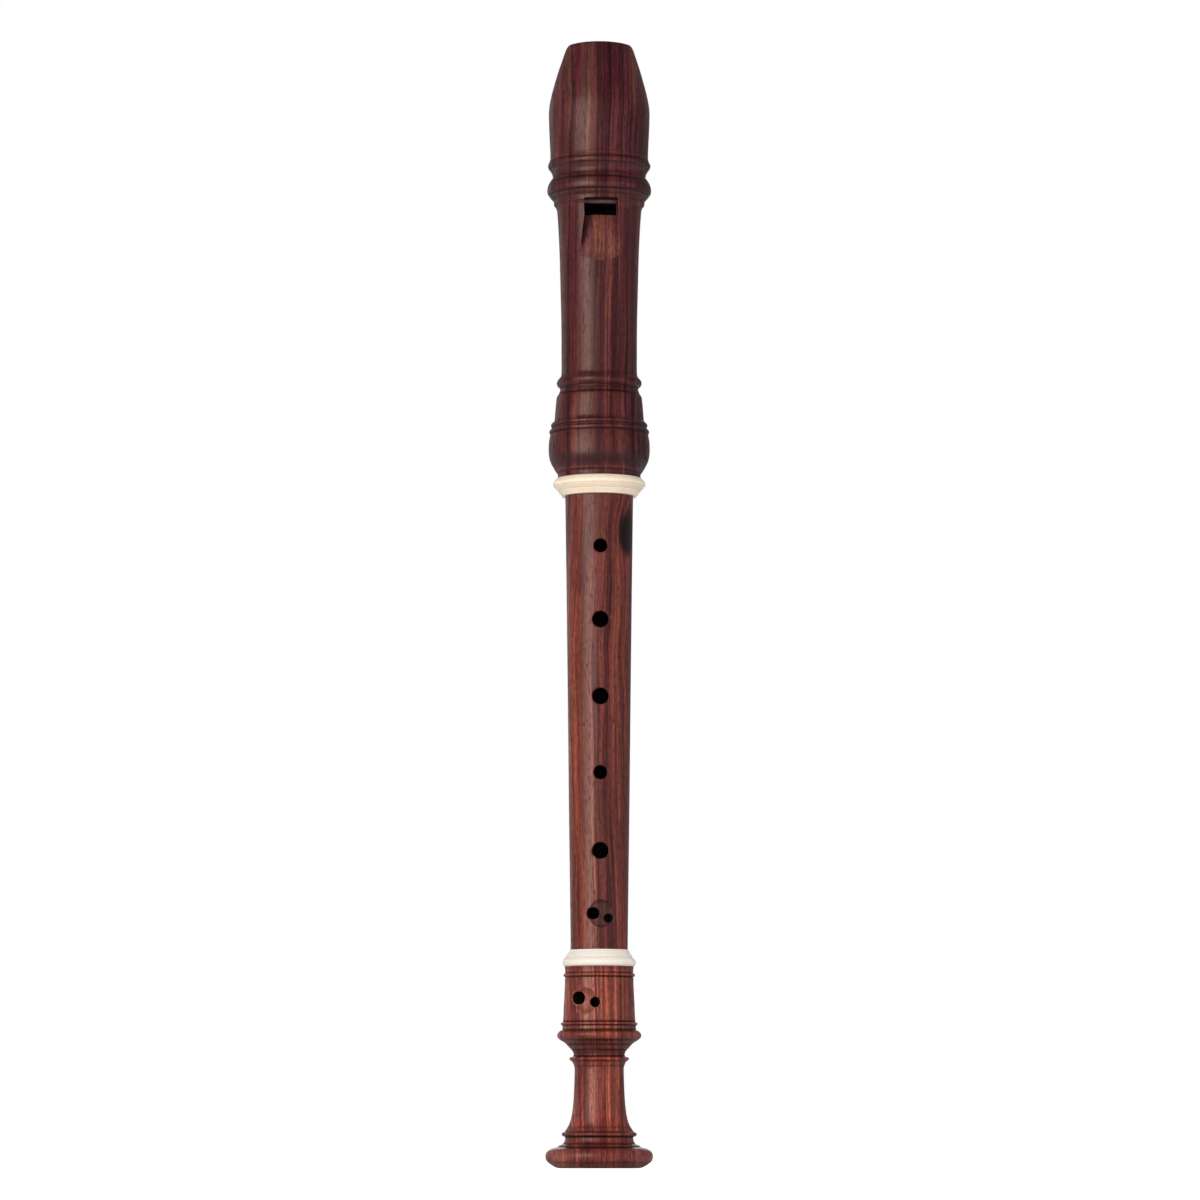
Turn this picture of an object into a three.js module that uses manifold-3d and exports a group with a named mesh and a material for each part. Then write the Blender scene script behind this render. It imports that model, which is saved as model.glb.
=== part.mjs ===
// Soprano recorder in three joints: head, middle and foot.
// Units are millimetres, +Z is up along the bore's axis, and the origin is the
// centre of the foot's bottom face. The window and the finger holes face -Y,
// the thumb hole and the beak's undercut face +Y.
import * as THREE from 'three';
import { mergeVertices } from 'three/addons/utils/BufferGeometryUtils.js';
import Module from 'manifold-3d';

// ---------------------------------------------------------------- dimensions
const SEGMENTS = 36; // facets round every turned piece
const HOLE_SEGMENTS = 16; // facets round a drilled hole

const TOTAL_LENGTH = 330; // foot's bottom face to the mouth end
const AXIAL_GAP = 0.1; // between faces that meet end to end

// Levels along the axis
const FOOT_RING_BOTTOM = 58.3;
const FOOT_RING_TOP = 63.1;
const HEAD_RING_BOTTOM = 195.9;
const HEAD_RING_TOP = 201.2;
const RING_LIP = 1.6; // the ring's inturned lip over the wood's end

// Head bore and socket
const HEAD_BORE_R = 6.6;
const HEAD_SOCKET_R = 8.8;
const HEAD_SOCKET_TOP = 220.9;
const HEAD_SPIGOT_R = 10.2;
const HEAD_RING_BORE_R = 10.3;

// Window, labium and windway
const WINDOW_HALF_WIDTH = 4.75;
const WINDOW_TOP = 282.3;
const LABIUM_EDGE = 278.6;
const LABIUM_EDGE_DEPTH = 6.85; // ramp's middle, measured from the axis
const RAMP_BOTTOM = 264.1;
const RAMP_BOTTOM_DEPTH = 11.66;
const RAMP_BOTTOM_HALF_WIDTH = 6.45;
const RAMP_EDGE_ARC_R = 11;
const RAMP_BOTTOM_ARC_R = 17;
const WINDWAY_EXIT_DEPTH = 6.6; // roof's middle, measured from the axis
const WINDWAY_ENTRY_DEPTH = 7.1;
const WINDWAY_ENTRY_HALF_WIDTH = 5.4;
const WINDWAY_ROOF_ARC_R = 11;

// Block
const BLOCK_R = 6.55;
const BLOCK_BOTTOM = 282.1;
const BLOCK_FLOOR_DEPTH = 5.6; // windway floor's middle, measured from the axis
const BLOCK_FLOOR_ARC_R = 10;
const BLOCK_FLOOR_HALF_WIDTH = 5.0;

// Beak: concave undercut from the lip to the back of the head, as [y, z]
const BEAK_LIP = [-3.0, TOTAL_LENGTH + 1];
const BEAK_BEND = [-1.2, 309];
const BEAK_HEEL = [17.5, 297.6];
const BEAK_STEPS = 12;

// Middle joint
const UPPER_TENON_R = 8.55;
const UPPER_TENON_TOP = 220.5;
const UPPER_GROOVE = { bottom: 201.5, top: 216.0, r: 7.6 };
const LOWER_TENON_R = 7.3;
const LOWER_TENON_BOTTOM = 52.4;
const LOWER_GROOVE = { bottom: 54.5, top: 60.0, r: 6.5 };
const MIDDLE_BORE_TOP_R = 6.3;
const MIDDLE_BORE_BOTTOM_R = 4.75;

// Foot bore and socket
const FOOT_SOCKET_R = 7.6;
const FOOT_SOCKET_BOTTOM = 52.0;
const FOOT_SPIGOT_R = 8.5;
const FOOT_RING_BORE_R = 8.6;
const FOOT_BORE_TOP_R = 4.9;
const FOOT_BORE_BOTTOM_R = 5.6;

// Cork sleeves
const UPPER_CORK = { inner: 7.7, outer: 8.7, bottom: 201.7, top: 215.8 };
const LOWER_CORK = { inner: 6.6, outer: 7.5, bottom: 54.7, top: 59.8 };

// Holes: height, radius, and angle round the axis from the front (degrees,
// negative towards -X)
const FINGER_HOLES = [
  { z: 180.5, r: 2.02, angle: 0 },
  { z: 158.95, r: 2.4, angle: 0 },
  { z: 136.5, r: 2.4, angle: 0 },
  { z: 114.3, r: 2.0, angle: 0 },
  { z: 91.6, r: 2.4, angle: 0 },
  { z: 73.45, r: 1.78, angle: -15.9 },
  { z: 72.1, r: 1.31, angle: 18.3 },
];
const THUMB_HOLE = { z: 188.4, r: 2.45, angle: 180 };
const FOOT_HOLES = [
  { z: 49.0, r: 1.93, angle: -41 },
  { z: 47.75, r: 1.4, angle: -9.4 },
];
// Round flat-bottomed recesses round the double holes
const MIDDLE_RECESS = { z: 73.35, r: 4.1, angle: 0, depth: 7.3 };
const FOOT_RECESS = { z: 48.6, r: 4.4, angle: -24.5, depth: 9.1 };

// Turned outlines as [radius, height], from low to high
const HEAD_OUTLINE = [
  [12.3, HEAD_RING_TOP + AXIAL_GAP], [12.18, 202.1], [12.88, 203.6],
  [13.93, 205.3], [14.57, 207.1], [14.85, 209.8], [14.68, 212.75],
  [14.4, 213.9], [14.62, 215.1], [14.05, 216.3], [14.13, 216.9],
  [13.1, 218.6], [12.8, 222.3], [12.5, 225.2], [11.5, 227.4],
  [11.6, 228.2], [12.45, 229.3], [12.2, 230.3], [11.2, 231.9],
  [11.15, 245], [11.6, 265], [11.95, 273.5], [12.4, 280.4],
  [13.3, 282.9], [14.1, 284.5], [15.0, 285.6], [15.33, 286.9],
  [14.9, 288.8], [13.8, 290.4], [13.85, 291.8], [14.7, 293.1],
  [15.1, 294.1], [14.45, 296.3], [14.65, 302], [14.92, 309.5],
  [14.5, 313.6], [13.0, 319.8], [11.3, 325.8], [10.35, 328.7],
  [9.6, TOTAL_LENGTH],
];
const HEAD_RING_OUTLINE = [
  [11.0, HEAD_RING_BOTTOM], [12.24, 197.64], [13.1, 198.5],
  [13.5, 198.85], [13.57, 199.6], [13.25, 200.3], [12.85, 200.9],
  [12.55, HEAD_RING_TOP],
];
const MIDDLE_OUTLINE = [
  [8.33, FOOT_RING_TOP + AXIAL_GAP], [8.68, 92.2], [8.99, 118.5],
  [9.41, 153.7], [9.78, 180.2], [9.97, HEAD_RING_BOTTOM - AXIAL_GAP],
];
const FOOT_RING_OUTLINE = [
  [10.2, FOOT_RING_BOTTOM], [10.6, 59.2], [10.6, 59.95],
  [9.85, 60.8], [9.55, 61.4], [8.85, 62.5], [8.62, FOOT_RING_TOP],
];
const FOOT_OUTLINE = [
  [11.5, 0], [14.3, 1.2], [15.45, 2.4], [15.45, 4.1], [14.3, 5.4],
  [11.5, 6.4], [9.85, 8.4], [10.85, 9.85], [9.2, 11.7], [7.85, 16.2],
  [7.3, 22.6], [7.15, 28.5], [7.45, 30.2], [8.6, 31.6], [7.4, 33.0],
  [9.1, 35.3], [11.3, 37.0], [12.2, 38.2], [11.4, 39.6], [10.7, 40.7],
  [11.1, 41.6], [10.4, 43.2], [10.05, 51.2], [9.95, 54.9],
  [10.35, 55.8], [9.9, 56.7], [9.95, FOOT_RING_BOTTOM - AXIAL_GAP],
];

// ------------------------------------------------------------------- helpers
const wasm = await Module();
wasm.setup();

// A closed three.js geometry as a manifold solid
function solidOf(geometry) {
  const bare = geometry.clone();
  for (const name of Object.keys(bare.attributes)) {
    if (name !== 'position') bare.deleteAttribute(name);
  }
  const merged = mergeVertices(bare, 1e-4);
  const index = merged.index.array;
  const triVerts = [];
  for (let i = 0; i < index.length; i += 3) {
    const [a, b, c] = [index[i], index[i + 1], index[i + 2]];
    if (a !== b && b !== c && c !== a) triVerts.push(a, b, c);
  }
  return new wasm.Manifold(new wasm.Mesh({
    numProp: 3,
    vertProperties: Float32Array.from(merged.attributes.position.array),
    triVerts: Uint32Array.from(triVerts),
  }));
}

// A manifold solid as a flat-shaded three.js geometry
function geometryOf(solid) {
  const mesh = solid.getMesh();
  const vertices = new Float32Array((mesh.vertProperties.length / mesh.numProp) * 3);
  for (let i = 0; i < vertices.length / 3; i += 1) {
    for (let k = 0; k < 3; k += 1) vertices[3 * i + k] = mesh.vertProperties[mesh.numProp * i + k];
  }
  const geometry = new THREE.BufferGeometry();
  geometry.setAttribute('position', new THREE.BufferAttribute(vertices, 3));
  geometry.setIndex(Array.from(mesh.triVerts));
  geometry.computeVertexNormals();
  return geometry;
}

// A ring-shaped solid turned about Z: the outline closes on itself
function turned(outline) {
  const points = [...outline, outline[0]].map(([r, z]) => new THREE.Vector2(r, z));
  return new THREE.LatheGeometry(points, SEGMENTS).rotateX(Math.PI / 2);
}

// A solid of stacked sections, each { z, outline: [[x, y], ...] } with the
// outline running counter-clockwise and the sections in rising order
function stacked(sections) {
  const count = sections[0].outline.length;
  const positions = [];
  const index = [];
  for (const { z, outline } of sections) {
    for (const [x, y] of outline) positions.push(x, y, z);
  }
  for (let k = 0; k + 1 < sections.length; k += 1) {
    for (let j = 0; j < count; j += 1) {
      const a = k * count + j;
      const b = k * count + ((j + 1) % count);
      index.push(a, b, b + count, a, b + count, a + count);
    }
  }
  const cap = (outline) => THREE.ShapeUtils.triangulateShape(
    outline.map(([x, y]) => new THREE.Vector2(x, y)), []);
  const last = (sections.length - 1) * count;
  for (const [a, b, c] of cap(sections[0].outline)) index.push(c, b, a);
  for (const [a, b, c] of cap(sections[sections.length - 1].outline)) {
    index.push(last + a, last + b, last + c);
  }
  const geometry = new THREE.BufferGeometry();
  geometry.setAttribute('position', new THREE.Float32BufferAttribute(positions, 3));
  geometry.setIndex(index);
  return geometry;
}

// Points of an arc bulging towards -Y, from x = +half to x = -half
function arcRow(half, depth, radius, steps = 8) {
  const row = [];
  for (let i = 0; i <= steps; i += 1) {
    const x = half - (2 * half * i) / steps;
    row.push([x, -depth + radius - Math.sqrt(radius * radius - x * x)]);
  }
  return row;
}

// Space under an arc: from y = inner out to the arc
function underArc(z, half, depth, radius, inner) {
  return { z, outline: [[-half, inner], ...arcRow(half, depth, radius).reverse(), [half, inner]] };
}

// Space outside an arc: from the arc out to y = -outer
function overArc(z, half, depth, radius, outer) {
  return { z, outline: [[-half, -outer], [half, -outer], ...arcRow(half, depth, radius)] };
}

// A drill from the axis outwards
function drill({ z, r, angle }, from = 0, to = 20, segments = HOLE_SEGMENTS) {
  return new THREE.CylinderGeometry(r, r, to - from, segments)
    .translate(0, -(from + to) / 2, 0)
    .rotateZ(THREE.MathUtils.degToRad(angle))
    .translate(0, 0, z);
}

function cut(geometry, ...cutters) {
  let solid = solidOf(geometry);
  for (const cutter of cutters) solid = solid.subtract(solidOf(cutter));
  return geometryOf(solid);
}

function piece(name, geometry, color, roughness) {
  const mesh = new THREE.Mesh(
    geometry, new THREE.MeshStandardMaterial({ color, roughness, metalness: 0 }));
  mesh.name = name;
  return mesh;
}

// ------------------------------------------------------------------- cutters
function beakCutter() {
  const curve = new THREE.QuadraticBezierCurve(
    new THREE.Vector2(...BEAK_LIP), new THREE.Vector2(...BEAK_BEND),
    new THREE.Vector2(...BEAK_HEEL));
  const shape = new THREE.Shape([
    ...curve.getPoints(BEAK_STEPS),
    new THREE.Vector2(30, BEAK_HEEL[1]),
    new THREE.Vector2(30, BEAK_LIP[1]),
  ]);
  // The shape's x and y become Y and Z, and its depth runs along X
  return new THREE.ExtrudeGeometry(shape, { depth: 50, bevelEnabled: false })
    .translate(0, 0, -25)
    .applyMatrix4(new THREE.Matrix4().makeBasis(
      new THREE.Vector3(0, 1, 0), new THREE.Vector3(0, 0, 1), new THREE.Vector3(1, 0, 0)));
}

// Windway roof, carried on as the labium's underside until it meets the bore
function windwayCutter() {
  const r = WINDWAY_ROOF_ARC_R;
  return stacked([
    underArc(268, WINDOW_HALF_WIDTH, 6.0, r, -2.5),
    underArc(LABIUM_EDGE, WINDOW_HALF_WIDTH, WINDWAY_EXIT_DEPTH, r, -2.5),
    underArc(WINDOW_TOP, WINDOW_HALF_WIDTH, WINDWAY_EXIT_DEPTH, r, -2.5),
    underArc(TOTAL_LENGTH + 1, WINDWAY_ENTRY_HALF_WIDTH, WINDWAY_ENTRY_DEPTH, r, -2.5),
  ]);
}

function windowCutter() {
  const height = WINDOW_TOP - LABIUM_EDGE;
  return new THREE.BoxGeometry(2 * WINDOW_HALF_WIDTH, 16, height)
    .translate(0, -3 - 8, LABIUM_EDGE + height / 2);
}

function rampCutter() {
  const at = (z) => {
    const t = (LABIUM_EDGE - z) / (LABIUM_EDGE - RAMP_BOTTOM);
    return overArc(
      z,
      THREE.MathUtils.lerp(WINDOW_HALF_WIDTH, RAMP_BOTTOM_HALF_WIDTH, t),
      THREE.MathUtils.lerp(LABIUM_EDGE_DEPTH, RAMP_BOTTOM_DEPTH, t),
      THREE.MathUtils.lerp(RAMP_EDGE_ARC_R, RAMP_BOTTOM_ARC_R, t),
      19);
  };
  return stacked([at(262.6), at(RAMP_BOTTOM), at(270), at(LABIUM_EDGE + 0.02)]);
}

function floorCutter() {
  const at = (z) => overArc(
    z, BLOCK_FLOOR_HALF_WIDTH, BLOCK_FLOOR_DEPTH, BLOCK_FLOOR_ARC_R, 12);
  return stacked([at(BLOCK_BOTTOM - 1), at(TOTAL_LENGTH + 1)]);
}

// -------------------------------------------------------------------- pieces
const headEnd = HEAD_RING_BOTTOM + RING_LIP + AXIAL_GAP;
const footEnd = FOOT_RING_TOP - RING_LIP - AXIAL_GAP;

const headJoint = piece('head_joint', cut(
  turned([
    [HEAD_SOCKET_R, headEnd],
    [HEAD_SPIGOT_R, headEnd],
    [HEAD_SPIGOT_R, HEAD_RING_TOP + AXIAL_GAP],
    ...HEAD_OUTLINE,
    [HEAD_BORE_R, TOTAL_LENGTH],
    [HEAD_BORE_R, HEAD_SOCKET_TOP],
    [HEAD_SOCKET_R, HEAD_SOCKET_TOP],
  ]),
  windwayCutter(), windowCutter(), rampCutter(), beakCutter(),
), 0x4a2a26, 0.42);

const block = piece('block', cut(
  turned([
    [0, BLOCK_BOTTOM], [BLOCK_R - 0.5, BLOCK_BOTTOM], [BLOCK_R, BLOCK_BOTTOM + 0.5],
    [BLOCK_R, TOTAL_LENGTH], [0, TOTAL_LENGTH],
  ]),
  floorCutter(), beakCutter(),
), 0xb07a52, 0.7);

const headRing = piece('head_ring', turned([
  [HEAD_SOCKET_R + 0.05, HEAD_RING_BOTTOM],
  ...HEAD_RING_OUTLINE,
  [HEAD_RING_BORE_R, HEAD_RING_TOP],
  [HEAD_RING_BORE_R, HEAD_RING_BOTTOM + RING_LIP],
  [HEAD_SOCKET_R + 0.05, HEAD_RING_BOTTOM + RING_LIP],
]), 0xf2e6d2, 0.35);

const middleJoint = piece('middle_joint', cut(
  turned([
    [MIDDLE_BORE_BOTTOM_R, LOWER_TENON_BOTTOM],
    [LOWER_TENON_R - 0.3, LOWER_TENON_BOTTOM],
    [LOWER_TENON_R, LOWER_TENON_BOTTOM + 0.4],
    [LOWER_TENON_R, LOWER_GROOVE.bottom],
    [LOWER_GROOVE.r, LOWER_GROOVE.bottom],
    [LOWER_GROOVE.r, LOWER_GROOVE.top],
    [LOWER_TENON_R, LOWER_GROOVE.top],
    [LOWER_TENON_R, FOOT_RING_TOP + AXIAL_GAP],
    ...MIDDLE_OUTLINE,
    [UPPER_TENON_R, HEAD_RING_BOTTOM - AXIAL_GAP],
    [UPPER_TENON_R, UPPER_GROOVE.bottom],
    [UPPER_GROOVE.r, UPPER_GROOVE.bottom],
    [UPPER_GROOVE.r, UPPER_GROOVE.top],
    [UPPER_TENON_R, UPPER_GROOVE.top],
    [UPPER_TENON_R, UPPER_TENON_TOP - 0.5],
    [UPPER_TENON_R - 0.4, UPPER_TENON_TOP],
    [MIDDLE_BORE_TOP_R, UPPER_TENON_TOP],
  ]),
  drill(MIDDLE_RECESS, MIDDLE_RECESS.depth, 12, 24),
  ...FINGER_HOLES.map((hole) => drill(hole)),
  drill(THUMB_HOLE),
), 0x7a3a30, 0.4);

const upperTenonCork = piece('upper_tenon_cork', turned([
  [UPPER_CORK.inner, UPPER_CORK.bottom], [UPPER_CORK.outer, UPPER_CORK.bottom],
  [UPPER_CORK.outer, UPPER_CORK.top], [UPPER_CORK.inner, UPPER_CORK.top],
]), 0xb98b5e, 0.85);

const lowerTenonCork = piece('lower_tenon_cork', turned([
  [LOWER_CORK.inner, LOWER_CORK.bottom], [LOWER_CORK.outer, LOWER_CORK.bottom],
  [LOWER_CORK.outer, LOWER_CORK.top], [LOWER_CORK.inner, LOWER_CORK.top],
]), 0xb98b5e, 0.85);

const footRing = piece('foot_ring', turned([
  [FOOT_RING_BORE_R, FOOT_RING_BOTTOM],
  ...FOOT_RING_OUTLINE,
  [FOOT_SOCKET_R + 0.05, FOOT_RING_TOP],
  [FOOT_SOCKET_R + 0.05, FOOT_RING_TOP - RING_LIP],
  [FOOT_RING_BORE_R, FOOT_RING_TOP - RING_LIP],
]), 0xf4ebdc, 0.35);

const footJoint = piece('foot_joint', cut(
  turned([
    [FOOT_BORE_BOTTOM_R, 0],
    ...FOOT_OUTLINE,
    [FOOT_SPIGOT_R, FOOT_RING_BOTTOM - AXIAL_GAP],
    [FOOT_SPIGOT_R, footEnd],
    [FOOT_SOCKET_R, footEnd],
    [FOOT_SOCKET_R, FOOT_SOCKET_BOTTOM],
    [FOOT_BORE_TOP_R, FOOT_SOCKET_BOTTOM],
  ]),
  drill(FOOT_RECESS, FOOT_RECESS.depth, 14, 24),
  ...FOOT_HOLES.map((hole) => drill(hole)),
), 0x8a4026, 0.4);

// ------------------------------------------------------------------ assembly
const headGroup = new THREE.Group();
headGroup.add(headJoint, headRing, block);

const middleGroup = new THREE.Group();
middleGroup.add(middleJoint, upperTenonCork, lowerTenonCork);

const footGroup = new THREE.Group();
footGroup.add(footJoint, footRing);

const recorder = new THREE.Group();
recorder.add(headGroup, middleGroup, footGroup);

export default recorder;
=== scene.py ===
# Soprano recorder: the looks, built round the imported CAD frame.
# Every visible piece is a finely turned mesh that replaces its plainer CAD node.
import math

import bpy
import bmesh
import numpy as np
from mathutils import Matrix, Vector, kdtree


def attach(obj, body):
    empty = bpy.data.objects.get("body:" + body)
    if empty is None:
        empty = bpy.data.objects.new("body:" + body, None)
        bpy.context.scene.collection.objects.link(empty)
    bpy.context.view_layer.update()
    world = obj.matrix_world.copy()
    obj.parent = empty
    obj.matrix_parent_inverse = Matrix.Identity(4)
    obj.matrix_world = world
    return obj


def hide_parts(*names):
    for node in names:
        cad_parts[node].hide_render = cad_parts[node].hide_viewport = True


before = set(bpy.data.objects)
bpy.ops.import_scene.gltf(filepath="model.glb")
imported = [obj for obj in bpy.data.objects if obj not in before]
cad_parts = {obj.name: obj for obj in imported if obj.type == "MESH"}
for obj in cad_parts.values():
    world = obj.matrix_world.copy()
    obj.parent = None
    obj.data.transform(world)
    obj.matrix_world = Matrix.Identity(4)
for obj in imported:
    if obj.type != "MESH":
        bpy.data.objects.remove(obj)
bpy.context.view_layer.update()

scene = bpy.context.scene
MM = 0.001
SEGS = 192               # facets round a turned piece

# ------------------------------------------------------------------ profiles
# A profile is a list of [radius, height] in mm; a third item "c" marks an edge
# (a crease that is only broken by a tiny round), and a number there sets the
# size of that round in mm.
HEAD_OUT = [
    (12.22, 201.30, "c"), (12.14, 201.8), (12.13, 202.1), (12.22, 202.55), (12.46, 202.95, "c"),
    (12.70, 203.15, "c"), (12.98, 203.62), (13.44, 204.45), (13.93, 205.3), (14.33, 206.2),
    (14.60, 207.1), (14.80, 208.3), (14.87, 209.8), (14.81, 211.6), (14.69, 212.75),
    (14.46, 213.9), (14.34, 214.35, "c"), (14.60, 214.58, 0.06), (14.67, 214.95), (14.66, 215.2),
    (14.55, 215.42, 0.06), (14.25, 215.75), (14.02, 216.2), (13.96, 216.45, "c"),
    (14.14, 216.65, 0.05), (14.19, 216.95), (14.12, 217.25, 0.05), (13.80, 217.6, "c"),
    (13.42, 217.95), (13.16, 218.5), (13.07, 219.2), (12.98, 220.5), (12.86, 222.0),
    (12.70, 223.8), (12.52, 225.15), (12.40, 225.55, "c"), (12.16, 225.75, "c"),
    (11.92, 226.3), (11.66, 226.9), (11.50, 227.45), (11.44, 227.85, "c"),
    (11.62, 228.1, 0.06), (12.05, 228.45), (12.36, 228.85), (12.49, 229.4), (12.42, 229.9),
    (12.17, 230.35), (11.82, 230.8), (11.62, 231.05, "c"), (11.42, 231.25, "c"),
    (11.22, 231.75), (11.13, 232.6), (11.10, 234.0), (11.12, 238.0), (11.13, 242.5),
    (11.20, 248.4), (11.35, 254.4), (11.49, 260.3), (11.65, 266.3), (11.84, 271.3),
    (12.00, 274.5), (12.20, 277.7), (12.38, 280.0), (12.46, 280.8), (12.60, 281.35),
    (12.84, 281.85), (12.98, 282.12, "c"), (13.30, 282.40, 0.07), (13.37, 282.75),
    (13.37, 283.15), (13.43, 283.5), (13.60, 283.9), (14.08, 284.42), (14.38, 284.72, 0.08),
    (14.52, 285.05), (14.62, 285.28, "c"), (14.92, 285.45, 0.06), (15.16, 285.85), (15.30, 286.35),
    (15.35, 286.95), (15.28, 287.6), (15.08, 288.35), (14.79, 289.0), (14.42, 289.6),
    (14.12, 290.0, "c"), (13.86, 290.3, "c"), (13.75, 290.75), (13.75, 291.3),
    (13.90, 291.85), (14.14, 292.35), (14.42, 292.8, "c"), (14.50, 293.0, "c"), (14.86, 293.38),
    (15.07, 293.8), (15.15, 294.2), (15.11, 294.55), (14.98, 294.78, "c"), (14.78, 294.92, "c"),
    (14.76, 295.14, "c"), (14.70, 295.45), (14.56, 295.95), (14.46, 296.5),
    (14.44, 297.2), (14.47, 298.3), (14.54, 299.8), (14.60, 301.3), (14.73, 303.7),
    (14.85, 306.7), (14.91, 309.0), (14.91, 310.2), (14.84, 311.4), (14.69, 312.6),
    (14.45, 313.8), (14.02, 315.9), (13.36, 318.4), (12.69, 320.9), (12.02, 323.3),
    (11.39, 325.4), (10.86, 327.2), (10.40, 328.7), (10.06, 329.75, 0.7), (9.2, 330.0, "c"),
]
HEAD_RING_OUT = [
    (10.95, 195.90, 0.18), (11.30, 196.42), (11.76, 197.0), (11.98, 197.3, "c"),
    (11.93, 197.42, "c"), (12.24, 197.66), (12.55, 197.96), (12.85, 198.28), (13.06, 198.5),
    (13.16, 198.64, "c"), (13.12, 198.76, "c"), (13.46, 198.9, 0.12), (13.57, 199.25),
    (13.58, 199.55), (13.50, 199.88), (13.38, 200.12), (13.20, 200.38), (12.98, 200.68),
    (12.74, 200.95), (12.56, 201.12), (12.36, 201.2, "c"),
]
MIDDLE_OUT = [
    (8.34, 63.20, 0.12), (8.34, 66.0), (8.44, 74.7), (8.56, 83.5), (8.68, 92.2), (8.79, 101.0),
    (8.90, 109.7), (8.99, 118.5), (9.09, 127.3), (9.19, 136.1), (9.29, 144.9),
    (9.40, 153.7), (9.51, 162.5), (9.62, 171.4), (9.75, 180.2), (9.86, 189.0),
    (9.97, 195.8, 0.12),
]
FOOT_RING_OUT = [
    (10.12, 58.30, 0.15), (10.36, 58.55), (10.54, 58.95), (10.62, 59.35), (10.63, 59.7),
    (10.58, 60.0), (10.42, 60.25), (10.18, 60.52), (9.93, 60.78), (9.80, 60.95, "c"),
    (9.68, 61.02, "c"), (9.70, 61.14, "c"), (9.62, 61.38), (9.42, 61.66), (9.24, 61.9), (9.03, 62.2),
    (8.86, 62.48), (8.76, 62.66, "c"), (8.70, 62.72, "c"), (8.66, 62.9), (8.60, 63.1, 0.12),
]
FOOT_OUT = [
    (11.5, 0.0, 0.3), (12.45, 0.16), (13.25, 0.52), (14.22, 1.12), (14.98, 1.76),
    (15.42, 2.45), (15.58, 3.2), (15.52, 3.92), (15.20, 4.62), (14.62, 5.18), (13.78, 5.64),
    (12.85, 5.92), (12.15, 6.05, "c"), (11.92, 6.28, 0.06), (11.62, 6.55, 0.06),
    (11.10, 6.72, "c"), (10.62, 7.0), (10.22, 7.45), (9.98, 7.95), (9.88, 8.45), (9.87, 8.75),
    (9.93, 9.0, "c"), (10.34, 9.12, 0.06), (10.72, 9.38), (10.89, 9.78), (10.80, 10.1),
    (10.56, 10.32, 0.06), (10.12, 10.42, "c"), (9.86, 10.75), (9.50, 11.3), (9.12, 11.9),
    (8.79, 12.5), (8.50, 13.25), (8.22, 14.15), (8.02, 15.0), (7.83, 16.2), (7.66, 17.5),
    (7.45, 20.0), (7.31, 22.6), (7.21, 25.3), (7.15, 27.4), (7.15, 28.7), (7.19, 29.2, "c"),
    (7.27, 29.38, "c"), (7.44, 29.95), (7.70, 30.5), (7.98, 30.88, "c"), (8.42, 31.12, 0.05),
    (8.63, 31.42), (8.65, 31.68), (8.52, 31.92, 0.05), (8.04, 32.12, "c"), (7.62, 32.3),
    (7.44, 32.6), (7.40, 32.9), (7.46, 33.15), (7.50, 33.24, "c"), (7.44, 33.32, "c"),
    (7.62, 33.46, 0.03), (7.72, 33.64, 0.03), (7.68, 33.76, "c"), (7.86, 33.88, 0.03),
    (7.99, 34.06, 0.03), (7.96, 34.2, "c"), (8.20, 34.3), (8.45, 34.55), (8.78, 34.92),
    (9.12, 35.3), (9.42, 35.62, "c"), (9.44, 35.78, "c"), (9.80, 35.98, 0.05), (10.06, 36.22, 0.05),
    (10.22, 36.36, "c"), (10.75, 36.64), (11.30, 37.0), (11.78, 37.38), (12.08, 37.75), (12.22, 38.2), (12.18, 38.62),
    (12.00, 39.0), (11.68, 39.38), (11.30, 39.66), (10.98, 39.80, "c"), (10.76, 39.95, "c"),
    (10.68, 40.3), (10.66, 40.65), (10.69, 41.0), (10.74, 41.2, "c"), (11.05, 41.36, 0.05),
    (11.18, 41.6), (11.10, 41.88, 0.05), (10.72, 42.08, "c"), (10.52, 42.3, "c"), (10.47, 43.0),
    (10.40, 44.0), (10.32, 46.3), (10.20, 48.6), (10.07, 51.2), (9.98, 53.5), (9.95, 54.9),
    (9.86, 55.0, "c"), (9.88, 55.22, "c"), (10.26, 55.4, 0.05), (10.42, 55.72), (10.38, 56.0),
    (10.20, 56.2, 0.05), (9.88, 56.32, "c"), (9.90, 56.55, "c"), (9.93, 57.2), (10.02, 58.2, 0.1),
]


def fillet(a, p, b, size):
    """A tiny round at p between a and b: a list of points."""
    a, p, b = np.array(a, float), np.array(p, float), np.array(b, float)
    la, lb = np.linalg.norm(a - p), np.linalg.norm(b - p)
    if la < 1e-6 or lb < 1e-6:
        return [tuple(p)]
    d = min(size, 0.42 * la, 0.42 * lb)
    ua, ub = (a - p) / la, (b - p) / lb
    turn = math.degrees(math.acos(max(-1.0, min(1.0, float(np.dot(-ua, ub))))))
    if turn < 6:
        return [tuple(p)]
    n = 2 if turn < 50 else 4
    s, e = p + ua * d, p + ub * d
    out = []
    for i in range(n + 1):
        t = i / n
        out.append(tuple((1 - t) ** 2 * s + 2 * t * (1 - t) * p + t * t * e))
    return out


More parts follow.
